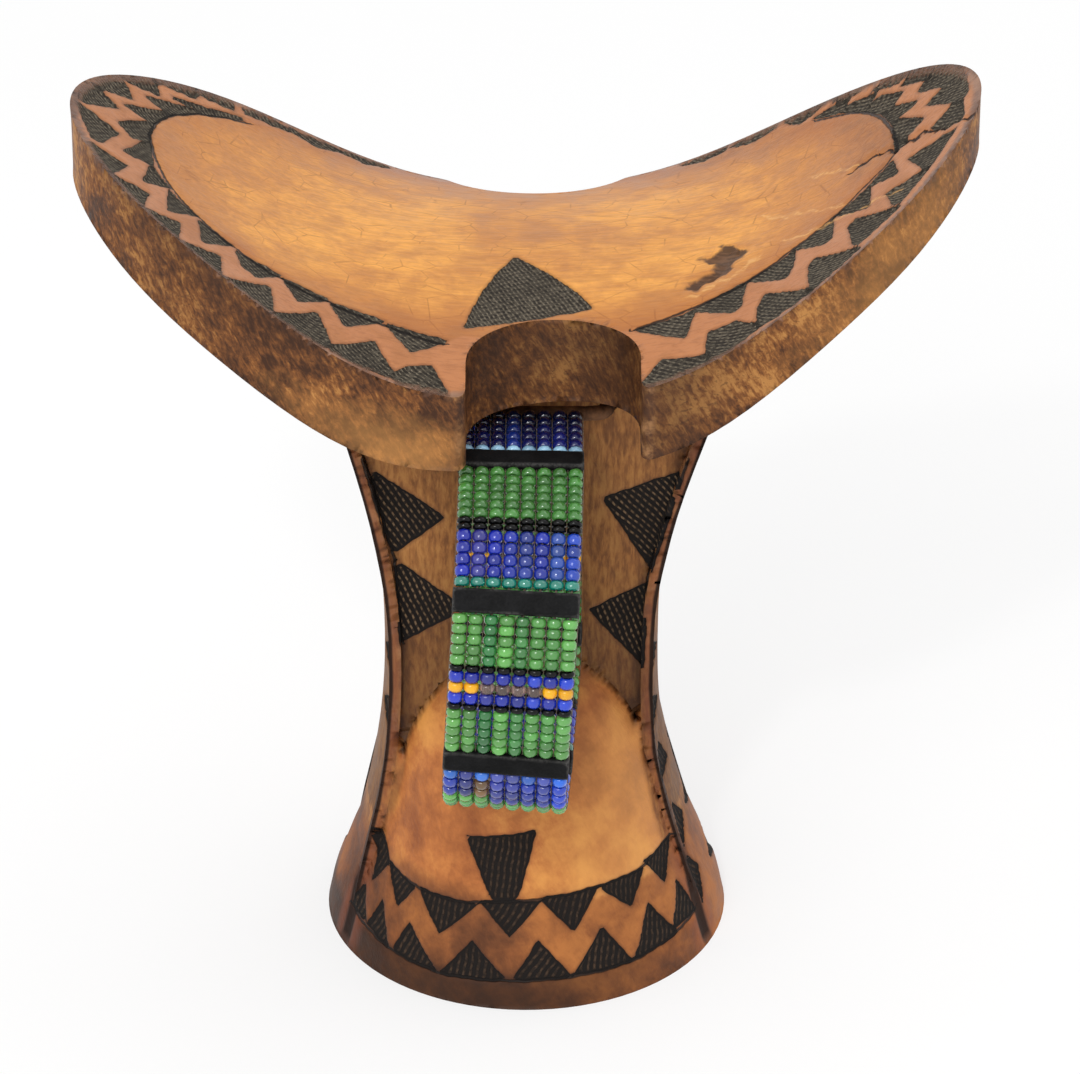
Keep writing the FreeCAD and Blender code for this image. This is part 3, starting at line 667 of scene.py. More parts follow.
def cadSurface(nodeName):
    # Ways to find the nearest place on a CAD node's faces and on its sharp edges
    bm = bmesh.new()
    bm.from_mesh(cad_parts[nodeName].data)
    bmesh.ops.remove_doubles(bm, verts=bm.verts, dist=1e-6)
    faces = BVHTree.FromBMesh(bm)
    onEdges = []
    for edge in bm.edges:
        if edge.is_manifold and edge.calc_face_angle() > 0.6:
            first, second = (vert.co for vert in edge.verts)
            parts = int((second - first).length / (0.2 * mm)) + 1
            onEdges += [first.lerp(second, step / parts) for step in range(parts + 1)]
    bm.free()
    edges = KDTree(len(onEdges))
    for number, place in enumerate(onEdges):
        edges.insert(place, number)
    edges.balance()
    return faces, edges


def fitToCad(data, nodeName, settings):
    # Voxel steps taken off: points spread evenly, put back on the faces and sharp edges, and
    # eased once more between the edges
    faces, edges = cadSurface(nodeName)
    neighbours = neighboursOf(data)
    points = pointsOf(data)
    onEdge = np.zeros(len(points), bool)
    for _ in range(2):
        for _ in range(settings["easeRounds"]):
            points = easedOnce(easedOnce(points, neighbours, 0.6), neighbours, -0.62)
        for number, point in enumerate(points):
            nearest = faces.find_nearest(Vector(point))[0]
            corner, _, distance = edges.find(nearest)
            onEdge[number] = distance < settings["edgeReach"]
            points[number] = corner if onEdge[number] else nearest
    for _ in range(settings["cornerRounds"]):
        points = np.where(onEdge[:, None], points, easedOnce(points, neighbours, 0.5))
    movePoints(data, np.clip(points, *np.array(cadBox)))
    return onEdge.astype(float)


def toolMarks(points):
    # Slow unevenness left by the knife, between 0 and 1
    marks = np.empty(len(points))
    for i, place in enumerate(points):
        marks[i] = noise.noise(Vector(place) * 0.08) + 0.4 * noise.noise(Vector(place) * 0.19)
    return np.clip(0.5 + 0.45 * marks, 0, 1)


def held(value):
    return np.clip(value, 0, 1)


def hump(value, middle, width, power=2):
    return np.exp(-((value - middle) / width) ** power)


def figureMarks(points, normals, settings):
    # Signed distances to the figures and grooves, and the places along and across the hatching
    marks = {"carve": np.full(len(points), -2.0), "groove": np.full(len(points), 3.0)}
    for name in ("across", "along", "hatch"):
        marks[name] = np.zeros(len(points))
    for taken, flat, figures, lines, turn, kind, reach in carveRegions(points, normals, settings):
        chosen = np.flatnonzero(taken)
        places = wobbled(flat[chosen], settings["handWobble"])
        for number, figure in enumerate(figures):
            low = np.min(figure, axis=0) - settings["figureMargin"]
            high = np.max(figure, axis=0) + settings["figureMargin"]
            near = np.flatnonzero(((places > low) & (places < high)).all(axis=1))
            depth = extendedDistance(places[near], figure, reach) + settings["grow"]
            better = depth > marks["carve"][chosen[near]]
            target = chosen[near][better]
            spot = places[near][better]
            lean = math.radians(turn + settings["leanChange"] * math.sin(number * 2.4))
            marks["carve"][target] = depth[better]
            marks["across"][target] = spot[:, 0] * math.sin(lean) + spot[:, 1] * math.cos(lean)
            marks["along"][target] = spot[:, 0] * math.cos(lean) - spot[:, 1] * math.sin(lean)
            marks["hatch"][target] = kind
        for line in lines:
            marks["groove"][chosen] = closer(marks["groove"][chosen], lineDistance(places, line))
    return marks


def ribMarks(points, settings):
    # Outer edges of the ribs, down to the foot
    x, y, z = points.T
    height, half, middle = np.array(settings["ribPath"]).T
    ribEdge = np.abs(x - np.interp(z, height, middle)) - np.interp(z, height, half)
    ribHere = held((np.abs(y) - 11.5) / 1.5) * held((z + 1) / 3)
    ribHere *= held((126 - z) / 8) * (np.abs(x) > 15)
    return {"ribEdge": ribEdge, "ribHere": ribHere}


def wearMarks(points, normals):
    # The seat's field inside its grooves, and the cracks, scratches and gouge in it
    onTop = np.flatnonzero((points[:, 2] > 128) & (normals[:, 2] > 0.05))
    topPlaces = points[onTop, :2]
    rough = wobbled(topPlaces, 0.9)
    outline = rounded(saddleLines[0]) + [(-12, -30), (0, -31), (12, -30)]
    outline += rounded(saddleLines[1]) + rearRim
    marks = {"field": np.full(len(points), -12.0), "gouge": np.full(len(points), -2.0)}
    marks["field"][onTop] = np.clip(insideDistance(topPlaces, outline), -12, 12)
    marks["gouge"][onTop] = np.clip(insideDistance(rough, gougeFigure), -2, 2)
    for name, lines in (("crack", crackLines), ("scratch", scratchLines)):
        marks[name] = np.full(len(points), 3.0)
        for line in lines:
            marks[name][onTop] = closer(marks[name][onTop], lineDistance(rough, line))
    return marks


def regionMarks(points, normals, ribEdge, settings):
    # Shares of each part of the body, for its colours, and how dark or pale it is, painted shade
    # included
    x, y, z = points.T
    reach = np.hypot(np.maximum(np.abs(x) - straightHalf, 0) / endLength, y / endDepth)
    topness = held((normals[:, 2] - 0.35) / 0.3) * (z > 126)
    lip = held((reach - settings["lipStart"]) / 0.01) * (z > 126) * (normals[:, 2] > 0.1)
    rim = (1 - topness) * held((z - 112) / 8) * held((reach - 0.35) / 0.2)
    mound = held((np.abs(y) - 14.6) / 0.8) * (z < 71) * (z > 22)
    mound *= held((-2.6 - ribEdge) / 0.8)
    foot = held((26 - z) / 4)
    # A golden, paler middle of the seat: partly worn polish, partly a painted sheen
    polish = np.exp(-((x + 8) / 68) ** 4 - ((y - 4) / 33) ** 4) * topness
    polish *= 1.04 - 0.26 * hump(x, -1, 20)

    front = rim * held((-10 - y) / 14)
    tone = 0.14 * front * hump(x, -22, 13)
    tone += front * (0.26 * held((x - 42) / 24) - 0.56 * hump(x, 26, 12))
    tone -= 0.28 * front * hump(x, -62, 20)
    tone -= 0.36 * front * held((17 - np.abs(x - 5)) / 3)
    # Painted shade just under the rim's overhanging lip, whose height is read from the points on it
    onRim = (reach > 0.97) & (y < -2)
    steps = np.round(x / 3)
    tops = [(step * 3, z[onRim & (steps == step)].max()) for step in np.unique(steps[onRim])]
    under = np.interp(x, *zip(*tops)) - z
    shadeUnderLip = np.interp(x, [-60, -20, 20, 60], [0.3, 0.3, 0.1, 0.1])
    paleUnder = np.interp(x, [-70, -50, -20, 0], [0, 0.2, 0.2, 0])
    tone -= front * hump(under, 0, 6) * shadeUnderLip
    tone += front * hump(under, 17, 8) * paleUnder
    tone -= 0.2 * held((z - 88) / 8) * held((x - 10) / 6) * (z < 118) * (y < 0)
    tone -= 0.48 * held((90 - z) / 22) * (1 - mound) * (np.abs(y) < 15.5) * (z > 28)
    # Painted shade of the bead loop along the mound's top
    tone -= 0.56 * hump(z, 66, 8) * mound
    tone += 0.44 * mound * held((x - 4) / 14) * (y < 0)
    tone -= 0.72 * held((8.5 - z) / 2) * held(1.1 - (x - 4) / 34)
    tone -= 0.16 * foot * held((10 - x) / 20)
    # The carving fades out on the saddle's edges, so that they stay clean
    clear = held((settings["lipStart"] + 0.004 - reach) / 0.02)
    clear *= held((normals[:, 2] - 0.5) / 0.2)
    return {"topness": topness, "lip": lip, "rim": rim, "mound": mound, "foot": foot,
            "polish": polish, "tone": tone}, np.where(z > 128, clear, 1)


def cutDepth(points, marks, edge, clear, settings):
    cut = held(1.4 * (1 - np.abs(marks["groove"]) / settings["grooveWidth"]))
    ribCut = 1.4 * marks["ribHere"] * held(1 - np.abs(marks["ribEdge"]) / 1.2)
    offEdge = held(1.3 - edge / 0.2)
    depth = settings["carveDepth"] * held(marks["carve"] / settings["carveSlope"])
    depth = np.maximum(depth, settings["grooveDepth"] * cut) * (offEdge * clear)
    depth = np.maximum(depth, settings["grooveDepth"] * ribCut)
    depth += 0.7 * held(1 - np.abs(marks["crack"]) / 0.9) + 0.9 * held(marks["gouge"] / 1.6)
    roughSides = 0.25 + 0.75 * np.maximum(marks["rim"], marks["foot"])
    return depth + settings["toolDepth"] * roughSides * toolMarks(points) * offEdge


def makeBody(settings):
    data = remeshedCopy("carvedBody", "headrest_body", settings["voxel"])
    onEdge = fitToCad(data, "headrest_body", settings)
    points = pointsOf(data) / mm
    neighbours = neighboursOf(data)
    # Points gathered on a sharp edge take their direction from the faces beside it
    normals = normalsOf(data) * (1 - onEdge[:, None])
    for _ in range(3):
        normals = easedOnce(normals, neighbours, 0.4)
    normals /= np.linalg.norm(normals, axis=1)[:, None] + 1e-9
    edge = convexity(data, points, normals, 6)
    for _ in range(4):
        edge = easedOnce(edge[:, None], neighbours, 0.7)[:, 0]

    marks = {**figureMarks(points, normals, settings), **ribMarks(points, settings),
             **wearMarks(points, normals)}
    regions, clear = regionMarks(points, normals, marks["ribEdge"], settings)
    marks.update(regions)
    depth = cutDepth(points, marks, edge, clear, settings)
    # Points on the sharp edges stay where they are
    nearEdge = easedOnce(onEdge[:, None], neighbours, 0.5)[:, 0]
    depth *= (1 - np.maximum(onEdge, nearEdge)) * held(points[:, 2] / 2)
    moved = (points - easedOnce(normals, neighbours, 0.5) * depth[:, None]) * mm
    movePoints(data, np.clip(moved, *np.array(cadBox)))

    for name in ("groove", "crack", "scratch"):
        marks[name + "Near"] = np.abs(marks[name])
    marks["edge"] = np.clip(edge * 5, -1, 1)
    for name, values in marks.items():
        saveAttribute(data, name, values)
    print("body", len(data.vertices), "points")
    return data


# Wood: one material that follows the body's regions
woodSettings = {
    "seatStops": [(0.0, paint(156, 102, 62)), (0.3, paint(188, 126, 74)),
                  (0.65, paint(205, 138, 72)), (1.0, paint(236, 166, 81))],
    "seatRed": paint(152, 86, 48),
    "strip": paint(190, 126, 82),
    "stripDark": paint(142, 88, 56),
    "lip": paint(112, 80, 64),
    "lipPale": paint(150, 116, 98),
    "rimStops": [(0.1, paint(62, 35, 17)), (0.4, paint(102, 61, 30)), (0.62, paint(128, 79, 38)),
                 (0.9, paint(170, 118, 63))],
    "neckStops": [(0.1, paint(116, 73, 40)), (0.5, paint(148, 96, 51)), (0.9, paint(170, 117, 63))],
    "moundStops": [(0.1, paint(140, 78, 40)), (0.5, paint(182, 110, 56)),
                   (0.9, paint(214, 146, 74))],
    "footStops": [(0.1, paint(92, 52, 28)), (0.5, paint(136, 80, 42)), (0.9, paint(172, 106, 54))],
    "burnt": paint(24, 19, 17),
    "seatBurnt": paint(42, 37, 32),
    "seatRidge": paint(122, 112, 96),
    "footRidge": paint(72, 55, 42),
    "neckRidge": paint(122, 98, 74),
    "edgeDark": paint(70, 46, 34),
    "edgeWorn": paint(172, 126, 84),
    # Paint for darker patches and for painted shade
    "toneDark": paint(48, 27, 14),
    "toneLight": paint(226, 160, 88),
}


def woodMaterial(settings):
    material, tree, shader = newMaterial("carvedWood")
    topness = readAttribute(tree, "topness")
    blotches = speckle(tree, (34, 34, 34), 5.0, 0.6, 0.3)
    mottle = speckle(tree, (150, 150, 150), 6.0, 0.62, 0.2)
    seatGrain = speckle(tree, (36, 150, 150), 5.0, 0.6, 1.6)
    fineGrain = speckle(tree, (200, 1400, 1400), 3.0, 0.6, 0.3)
    dashes = speckle(tree, (1150, 900, 380), 3.0, 0.65, 0.4, 0.5)
    sideGrain = speckle(tree, (1100, 1100, 260), 4.0, 0.62, 0.3)
    pores = speckle(tree, (900, 1700, 1700), 2.0, 0.5, 0.3)

    # Saddle top
    # The seat's paler middle is partly a painted sheen
    shade = readAttribute(tree, "polish") + stepBetween(blotches, 0.25, 0.75, -0.2, 0.2)
    shade += stepBetween(seatGrain, 0.25, 0.75, -0.14, 0.1)
    shade += stepBetween(mottle, 0.3, 0.7, -0.14, 0.12)
    seat = rampOf(shade, settings["seatStops"])
    seat = mixPaint(stepBetween(fineGrain, 0.32, 0.72, 0.0, 0.24), seat, paint(128, 72, 36))
    craze = (stepBetween(crazing(tree, (150, 210, 210)), 0.035, 0.0)
             * stepBetween(mottle, 0.45, 0.62, 0.0, 0.5))
    seat = mixPaint(craze, seat, paint(120, 66, 34))
    field = readAttribute(tree, "field")
    redness = stepBetween(field, 11.0, 0.0) * stepBetween(blotches * 0.6 + mottle * 0.4, 0.4, 0.58)
    seat = mixPaint(redness * 0.55, seat, settings["seatRed"])
    strip = mixPaint(stepBetween(mottle, 0.35, 0.7, 0.0, 0.5), settings["strip"],
                     settings["stripDark"])
    strip = mixPaint(stepBetween(fineGrain, 0.45, 0.7, 0.0, 0.25), strip, paint(114, 66, 38))
    seat = mixPaint(stepBetween(field, -0.4, 0.4), strip, seat)
    lip = calc("MAXIMUM", readAttribute(tree, "lip"), stepBetween(topness, 0.9, 0.5))
    # The lip band: greyish brown, with pale patches that are a painted highlight along the rounded
    # edge
    lipPaintAndHighlight = mixPaint(stepBetween(mottle, 0.35, 0.65), settings["lip"], settings["lipPale"])
    seat = mixPaint(lip * 0.85, seat, lipPaintAndHighlight)

    # Sides, neck, mound and foot
    rimShade = blotches * 0.42 + (mottle * 0.22 + dashes * 0.36)
    rim = rampOf(stepBetween(rimShade, 0.36, 0.64), settings["rimStops"])
    rim = mixPaint(stepBetween(pores, 0.58, 0.68, 0.0, 0.5), rim, paint(62, 36, 20))
    neckShade = blotches * 0.4 + sideGrain * 0.6
    neck = rampOf(stepBetween(neckShade, 0.34, 0.66), settings["neckStops"])
    moundShade = blotches * 0.6 + (mottle * 0.3 + dashes * 0.1)
    mound = rampOf(stepBetween(moundShade, 0.3, 0.7), settings["moundStops"])
    foot = rampOf(stepBetween(moundShade, 0.32, 0.68), settings["footStops"])
    colour = mixPaint(readAttribute(tree, "mound"), neck, mound)
    colour = mixPaint(readAttribute(tree, "foot"), colour, foot)
    colour = mixPaint(readAttribute(tree, "rim"), colour, rim)
    colour = mixPaint(topness, colour, seat)
    colour = mixPaint(readAttribute(tree, "lip") * 0.75, colour, lipPaintAndHighlight)
    # Darker and paler patches of the wood, among them painted shade under the saddle's lip and
    # under the bead loop on the mound
    tone = readAttribute(tree, "tone") + stepBetween(mottle, 0.35, 0.65, -0.06, 0.06)
    colour = mixPaint(calc("MAXIMUM", tone * -1.0, 0.0), colour, settings["toneDark"])
    colour = mixPaint(calc("MAXIMUM", tone, 0.0), colour, settings["toneLight"])

    # Edges: dark where the knife turned over them, with pale rubbed spots; hollows and creases
    # darkened as painted shade
    edge = readAttribute(tree, "edge")
    dark = stepBetween(edge, 0.25, 0.8) * 0.45
    colour = mixPaint(dark, colour, settings["edgeDark"])
    rubbed = stepBetween(edge, 0.35, 0.9) * stepBetween(mottle, 0.52, 0.64)
    colour = mixPaint(rubbed * 0.6, colour, settings["edgeWorn"])
    creaseShade = stepBetween(edge, -0.15, -0.8, 0.0, 0.7)
    colour = mixPaint(creaseShade, colour, paint(54, 32, 20))
    ribHere = readAttribute(tree, "ribHere")
    beside = abs(readAttribute(tree, "ribEdge"))
    crest = ribHere * stepBetween(beside, 3.2, 1.2, 0.0, 0.45)
    colour = mixPaint(crest, colour, paint(136, 74, 50))
    ribLine = ribHere * stepBetween(beside, 1.05, 0.55, 0.0, 0.95)
    colour = mixPaint(ribLine, colour, paint(30, 17, 11))

    # Carved figures: burnt ground, hatching left by the knife, dark outline
    carve = readAttribute(tree, "carve")
    hatch = readAttribute(tree, "hatch")
    across = readAttribute(tree, "across")
    along = readAttribute(tree, "along")
    onSeat = stepBetween(hatch, 0.7, 0.3)
    onNeck = stepBetween(hatch, 1.3, 1.7)
    onFoot = 1.0 - onSeat - onNeck
    wander = mottle * 7.0
    footLines = calc("SINE", across * 4.7 + wander)
    footBreaks = calc("SINE", along * 3.4 + pores * 6.0)
    footRidge = stepBetween(footLines, -0.2, 0.8) * stepBetween(footBreaks, -0.8, 0.5, 0.35, 1.0)
    neckWave = calc("SINE", across * 5.4 + mottle * 2.5)
    neckBreaks = calc("SINE", along * 4.2 + across * 2.0)
    neckRidge = stepBetween(neckWave, 0.1, 0.8) * stepBetween(neckBreaks, -0.7, 0.2, 0.15, 1.0)
    seatWander = mottle * 5.0
    fineAcross = calc("SINE", across * 7.4 + seatWander)
    fineAlong = calc("SINE", along * 5.2 + seatWander)
    fineRidge = stepBetween(fineAcross, -0.2, 0.8) * stepBetween(fineAlong, -0.5, 0.5, 0.3, 1.0)
    fineRidge += stepBetween(pores, 0.4, 0.65, 0.0, 0.45)
    ridge = footRidge * onFoot + (fineRidge * onSeat + neckRidge * onNeck)
    insideEdge = stepBetween(carve + onSeat * 0.5, 0.35, 0.75)
    ridge *= insideEdge
    ridgePaint = mixPaint(onNeck, mixPaint(onSeat, settings["footRidge"], settings["seatRidge"]),
                          settings["neckRidge"])
    ridgeShare = ridge * stepBetween(mottle, 0.35, 0.65, 0.5, 1.0)
    ground = mixPaint(onSeat * insideEdge, settings["burnt"], settings["seatBurnt"])
    cut = mixPaint(ridgeShare, ground, ridgePaint)
    scorch = stepBetween(carve, -0.7, 0.0, 0.0, 0.35)
    colour = mixPaint(scorch, colour, paint(76, 46, 30))
    # The figures stop short of the saddle's rounded lip
    clearOfLip = 1.0 - lip * onSeat
    inFigure = stepBetween(carve, -0.06, 0.1) * clearOfLip
    colour = mixPaint(inFigure, colour, cut)
    groove = abs(readAttribute(tree, "groove"))
    groove = (stepBetween(groove, 0.42, 0.16)
              * stepBetween(readAttribute(tree, "grooveNear"), 1.3, 0.9))
    colour = mixPaint(groove * 0.92, colour, settings["burnt"])

    # Wear
    scratch = abs(readAttribute(tree, "scratch"))
    scratch = (stepBetween(scratch, 0.9, 0.1)
               * stepBetween(readAttribute(tree, "scratchNear"), 1.6, 1.1))
    scratch *= stepBetween(fineGrain, 0.4, 0.6, 0.1, 0.65)
    colour = mixPaint(scratch, colour, paint(230, 176, 108))
    gouge = readAttribute(tree, "gouge") + stepBetween(mottle, 0.35, 0.65, -0.6, 0.4)
    gouge = stepBetween(gouge, -0.5, 0.6, 0.0, 0.92)
    gougePaint = mixPaint(stepBetween(fineGrain, 0.46, 0.64), paint(56, 38, 30), paint(96, 68, 50))
    colour = mixPaint(gouge, colour, gougePaint)
    crack = abs(readAttribute(tree, "crack"))
    crack = stepBetween(crack, 0.5, 0.15) * stepBetween(readAttribute(tree, "crackNear"), 1.3, 0.9)
    colour = mixPaint(crack, colour, paint(40, 22, 14))
    feed(shader.inputs["Base Color"], colour)

    # Polish on the top, dull wood elsewhere
    rough = stepBetween(topness, 0.0, 1.0, 0.54, 0.38)
    rough -= readAttribute(tree, "mound") * 0.08
    rough += stepBetween(mottle, 0.3, 0.7, -0.05, 0.08)
    rough = calc("MAXIMUM", rough, calc("MAXIMUM", inFigure, ribLine) * 0.85)
    feed(shader.inputs["Roughness"], rough)
    shader.inputs["Specular IOR Level"].default_value = 0.22

    sides = 1.0 - topness
    grain = dashes * sides + fineGrain * topness
    dents = bumpOf(mottle, 0.0006, 0.35)
    grained = bumpOf(grain, 0.00022, 0.5, dents)
    cutHeight = ridge - inFigure * 0.6 - groove - crack
    feed(shader.inputs["Normal"], bumpOf(cutHeight, 0.00035, 0.9, grained))
    return material


bodyMesh = makeBody(bodySettings)
bodyMesh.materials.clear()
bodyMesh.materials.append(woodMaterial(woodSettings))
placeObject("carvedBody", bodyMesh, "headrest", "carved_wood", "headrest_body")
print("carved body made")


# Beads
beadSettings = {
    "radius": 1.43,
    "sideways": 1.06,
    "tall": 1.03,
    "bore": 0.5,
    "steps": 10,
    "sizeSpread": 0.02,
    "tilt": 3.0,
    "columns": 8,
    "seed": 21,
}
# Colours of each stretch, one for each column from the left
beadPaints = {
    "green_front_upper": [(62, 118, 52)] * 8,
    "green_front_lower": [(80, 140, 64), (74, 132, 60), (38, 106, 52), (84, 150, 68),
                          (56, 118, 58), (76, 140, 64), (70, 132, 62), (84, 146, 70)],
    "green": [(74, 140, 66)] * 8,
    "black": [(6, 6, 7)] * 8,
    # The crown under the saddle: dark navy, painted darker still for the shade of the overhang
    "blue_front_top": [(8, 12, 60), (10, 20, 84), (8, 16, 70), (18, 46, 132), (8, 18, 76),
                       (10, 24, 96), (12, 26, 104), (10, 20, 84)],
    "blue_front_upper": [(14, 32, 144), (46, 48, 132), (16, 36, 148), (20, 40, 138),
                         (34, 54, 138), (22, 42, 150), (40, 70, 146), (24, 58, 156)],
    "blue_front_lower": [(16, 42, 168), (16, 32, 152), (28, 38, 134), (18, 38, 160),
                         (20, 36, 138), (26, 54, 170), (18, 36, 146), (18, 54, 180)],
    "blue": [(18, 38, 154)] * 8,
    "teal": [(12, 138, 118)] * 8,
    "pale_blue": [(146, 192, 222)] * 8,
    "yellow": [(240, 168, 12)] * 8,
    "clear": [(140, 116, 108)] * 8,
    "foldFirst": [(30, 100, 196), (48, 58, 144), (40, 96, 182), (58, 68, 146), (60, 70, 144),
                  (40, 88, 176), (56, 68, 150), (24, 100, 220)],
    "fold": [(28, 48, 138), (40, 48, 118), (104, 76, 44), (46, 56, 138), (42, 52, 132),
             (28, 48, 142), (42, 56, 142), (24, 60, 184)],
}
# Painted shade on the crown's rows, darkest at the top under the saddle's overhang
crownPaintedShade = (0.35, 0.5, 0.7, 0.85, 1.0)
# The columns that a colour takes where it shares its row, and the beads' radius in each column
# as a share of the usual radius
rowColumns = {"yellow": (0, 1, 6, 7), "clear": (2, 3, 4, 5)}
columnWidths = {
    "green_front_lower": [1.02, 0.97, 0.92, 1.07, 0.92, 1.0, 0.98, 1.02],
    "green_front_upper": [1.0, 1.0, 1.0, 1.0, 1.0, 1.0, 1.01, 0.97],
    "blue_front_upper": [1.0, 1.02, 0.98, 0.96, 1.0, 0.99, 0.99, 0.95],
}
glassFinishes = {
    "green": {"roughness": 0.12, "coat": 0.8, "shine": 0.4, "clear": 0.0},
    "blue": {"roughness": 0.07, "coat": 0.8, "shine": 0.35, "clear": 0.0},
    "black": {"roughness": 0.05, "coat": 0.15, "shine": 0.18, "clear": 0.0},
    "teal": {"roughness": 0.05, "coat": 1.0, "shine": 0.6, "clear": 0.2},
    "pale_blue": {"roughness": 0.15, "coat": 0.5, "shine": 0.4, "clear": 0.0},
    "yellow": {"roughness": 0.16, "coat": 0.4, "shine": 0.4, "clear": 0.0},
    "clear": {"roughness": 0.05, "coat": 0.4, "shine": 0.5, "clear": 0.75},
}


def glassMaterial(kind, finish):
    material, tree, shader = newMaterial(kind + "Glass")
    swirl = speckle(tree, (520, 520, 900), 3.0, 0.6, 0.8)
    flecks = speckle(tree, (2600, 2600, 2600), 2.0, 0.5)
    colour = readAttribute(tree, "glass", "Color")
    colour = mixPaint(stepBetween(swirl, 0.35, 0.75, 0.0, 0.25), colour, paint(255, 255, 255),
                      "SOFT_LIGHT")
    colour = mixPaint(stepBetween(flecks, 0.62, 0.78, 0.0, 0.3), colour, paint(20, 16, 14))
    feed(shader.inputs["Base Color"], colour)
    low = finish["roughness"]
    feed(shader.inputs["Roughness"], stepBetween(swirl, 0.3, 0.7, low, low + 0.12))
    feed(shader.inputs["Normal"], bumpOf(swirl, 0.0002, 0.25))
    shader.inputs["Coat Weight"].default_value = finish["coat"]
    shader.inputs["Coat Roughness"].default_value = 0.04
    shader.inputs["Specular IOR Level"].default_value = finish["shine"]
    shader.inputs["Transmission Weight"].default_value = finish["clear"]
    shader.inputs["IOR"].default_value = 1.5
    return material


def cornerKey(part):
    # One number for the corners of an edge or a face, fewer than a hundred in all
    key = 0
    for index in sorted(vert.index for vert in part.verts):
        key = key * 100 + index
    return key


def beadShape(settings, length):
    # A ring-shaped bead along z, spun from its cross-section
    radius = settings["radius"]
    half = length / mm / 2
    upper = [(radius, 0.0), (0.96 * radius, 0.54 * half), (0.75 * radius, 0.97 * half),
             (settings["bore"], 0.9 * half)]
    profile = [(across, -along) for across, along in reversed(upper[1:])] + upper
    bm = bmesh.new()
    ring = [bm.verts.new((across * mm, 0, along * mm)) for across, along in profile]
    edges = [bm.edges.new((ring[i - 1], ring[i])) for i in range(len(ring))]
    bmesh.ops.spin(bm, geom=ring + edges, cent=(0, 0, 0), axis=(0, 0, 1), angle=2 * math.pi,
                   steps=settings["steps"], use_merge=True, use_duplicate=False)
    bmesh.ops.remove_doubles(bm, verts=bm.verts, dist=1e-6)
    bmesh.ops.recalc_face_normals(bm, faces=bm.faces)
    # Edges and faces in one order, so that every run gives the same mesh
    bm.verts.index_update()
    bm.edges.sort(key=cornerKey)
    bm.faces.sort(key=cornerKey)
    return meshFrom(bm, "beadShape")


def beadPlaces(name):
    # Row, column, middle, axis and length of every bead in a CAD node, row by row
    bm = bmesh.new()
    bm.from_mesh(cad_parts[name].data)
    order = bm.verts.layers.int.new("order")
    for vert in bm.verts:
        vert[order] = vert.index
    bmesh.ops.remove_doubles(bm, verts=bm.verts, dist=1e-6)
    found = []
    for first in bm.verts:
        if first.tag:
            continue
        first.tag = True
        reached = [first]
        for vert in reached:
            for edge in vert.link_edges:
                other = edge.other_vert(vert)
                if not other.tag:
                    other.tag = True
                    reached.append(other)
        points = np.array([vert.co for vert in reached])
        middle = points.mean(axis=0)
        spread, directions = np.linalg.eigh((points - middle).T @ (points - middle))
        own = 0 if spread[1] - spread[0] > spread[2] - spread[1] else 2
        axis = directions[:, own]
        length = float(np.ptp((points - middle) @ axis))
        found.append((min(vert[order] for vert in reached), middle, axis, length))
    bm.free()
    found.sort(key=lambda bead: bead[0])
    columns = rowColumns.get(name.split("_beads_")[0], range(beadSettings["columns"]))
    return [(number // len(columns), columns[number % len(columns)], *bead[1:])
            for number, bead in enumerate(found)]


beadNodes = sorted(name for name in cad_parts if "_beads_" in name)
allPlaces = {name: beadPlaces(name) for name in beadNodes}
loopMiddle = np.mean([place[2] for places in allPlaces.values() for place in places], axis=0)
print("beads found", sum(len(places) for places in allPlaces.values()), "around", loopMiddle)


def stationOf(middle):
    # Turn round the loop, from its top outwards and down the front
    return math.atan2(middle[1] - loopMiddle[1], middle[2] - loopMiddle[2])


def paintOf(name, column, row):
    kind, stretch = name.split("_beads_")
    if stretch == "fold":
        if kind == "green":
            return (78, 146, 74)
        if row == 0:
            return beadPaints["foldFirst"][column]
        if row == 3 and column < 3:
            return (84, 152, 66)
        return beadPaints["fold"][column]
    paints = beadPaints.get(kind + "_" + stretch, beadPaints[kind])
    # The crown's upper rows painted darker, as painted shade
    if name == "blue_beads_front_top":
        return [value * crownPaintedShade[row] for value in paints[column]]
    return paints[column]


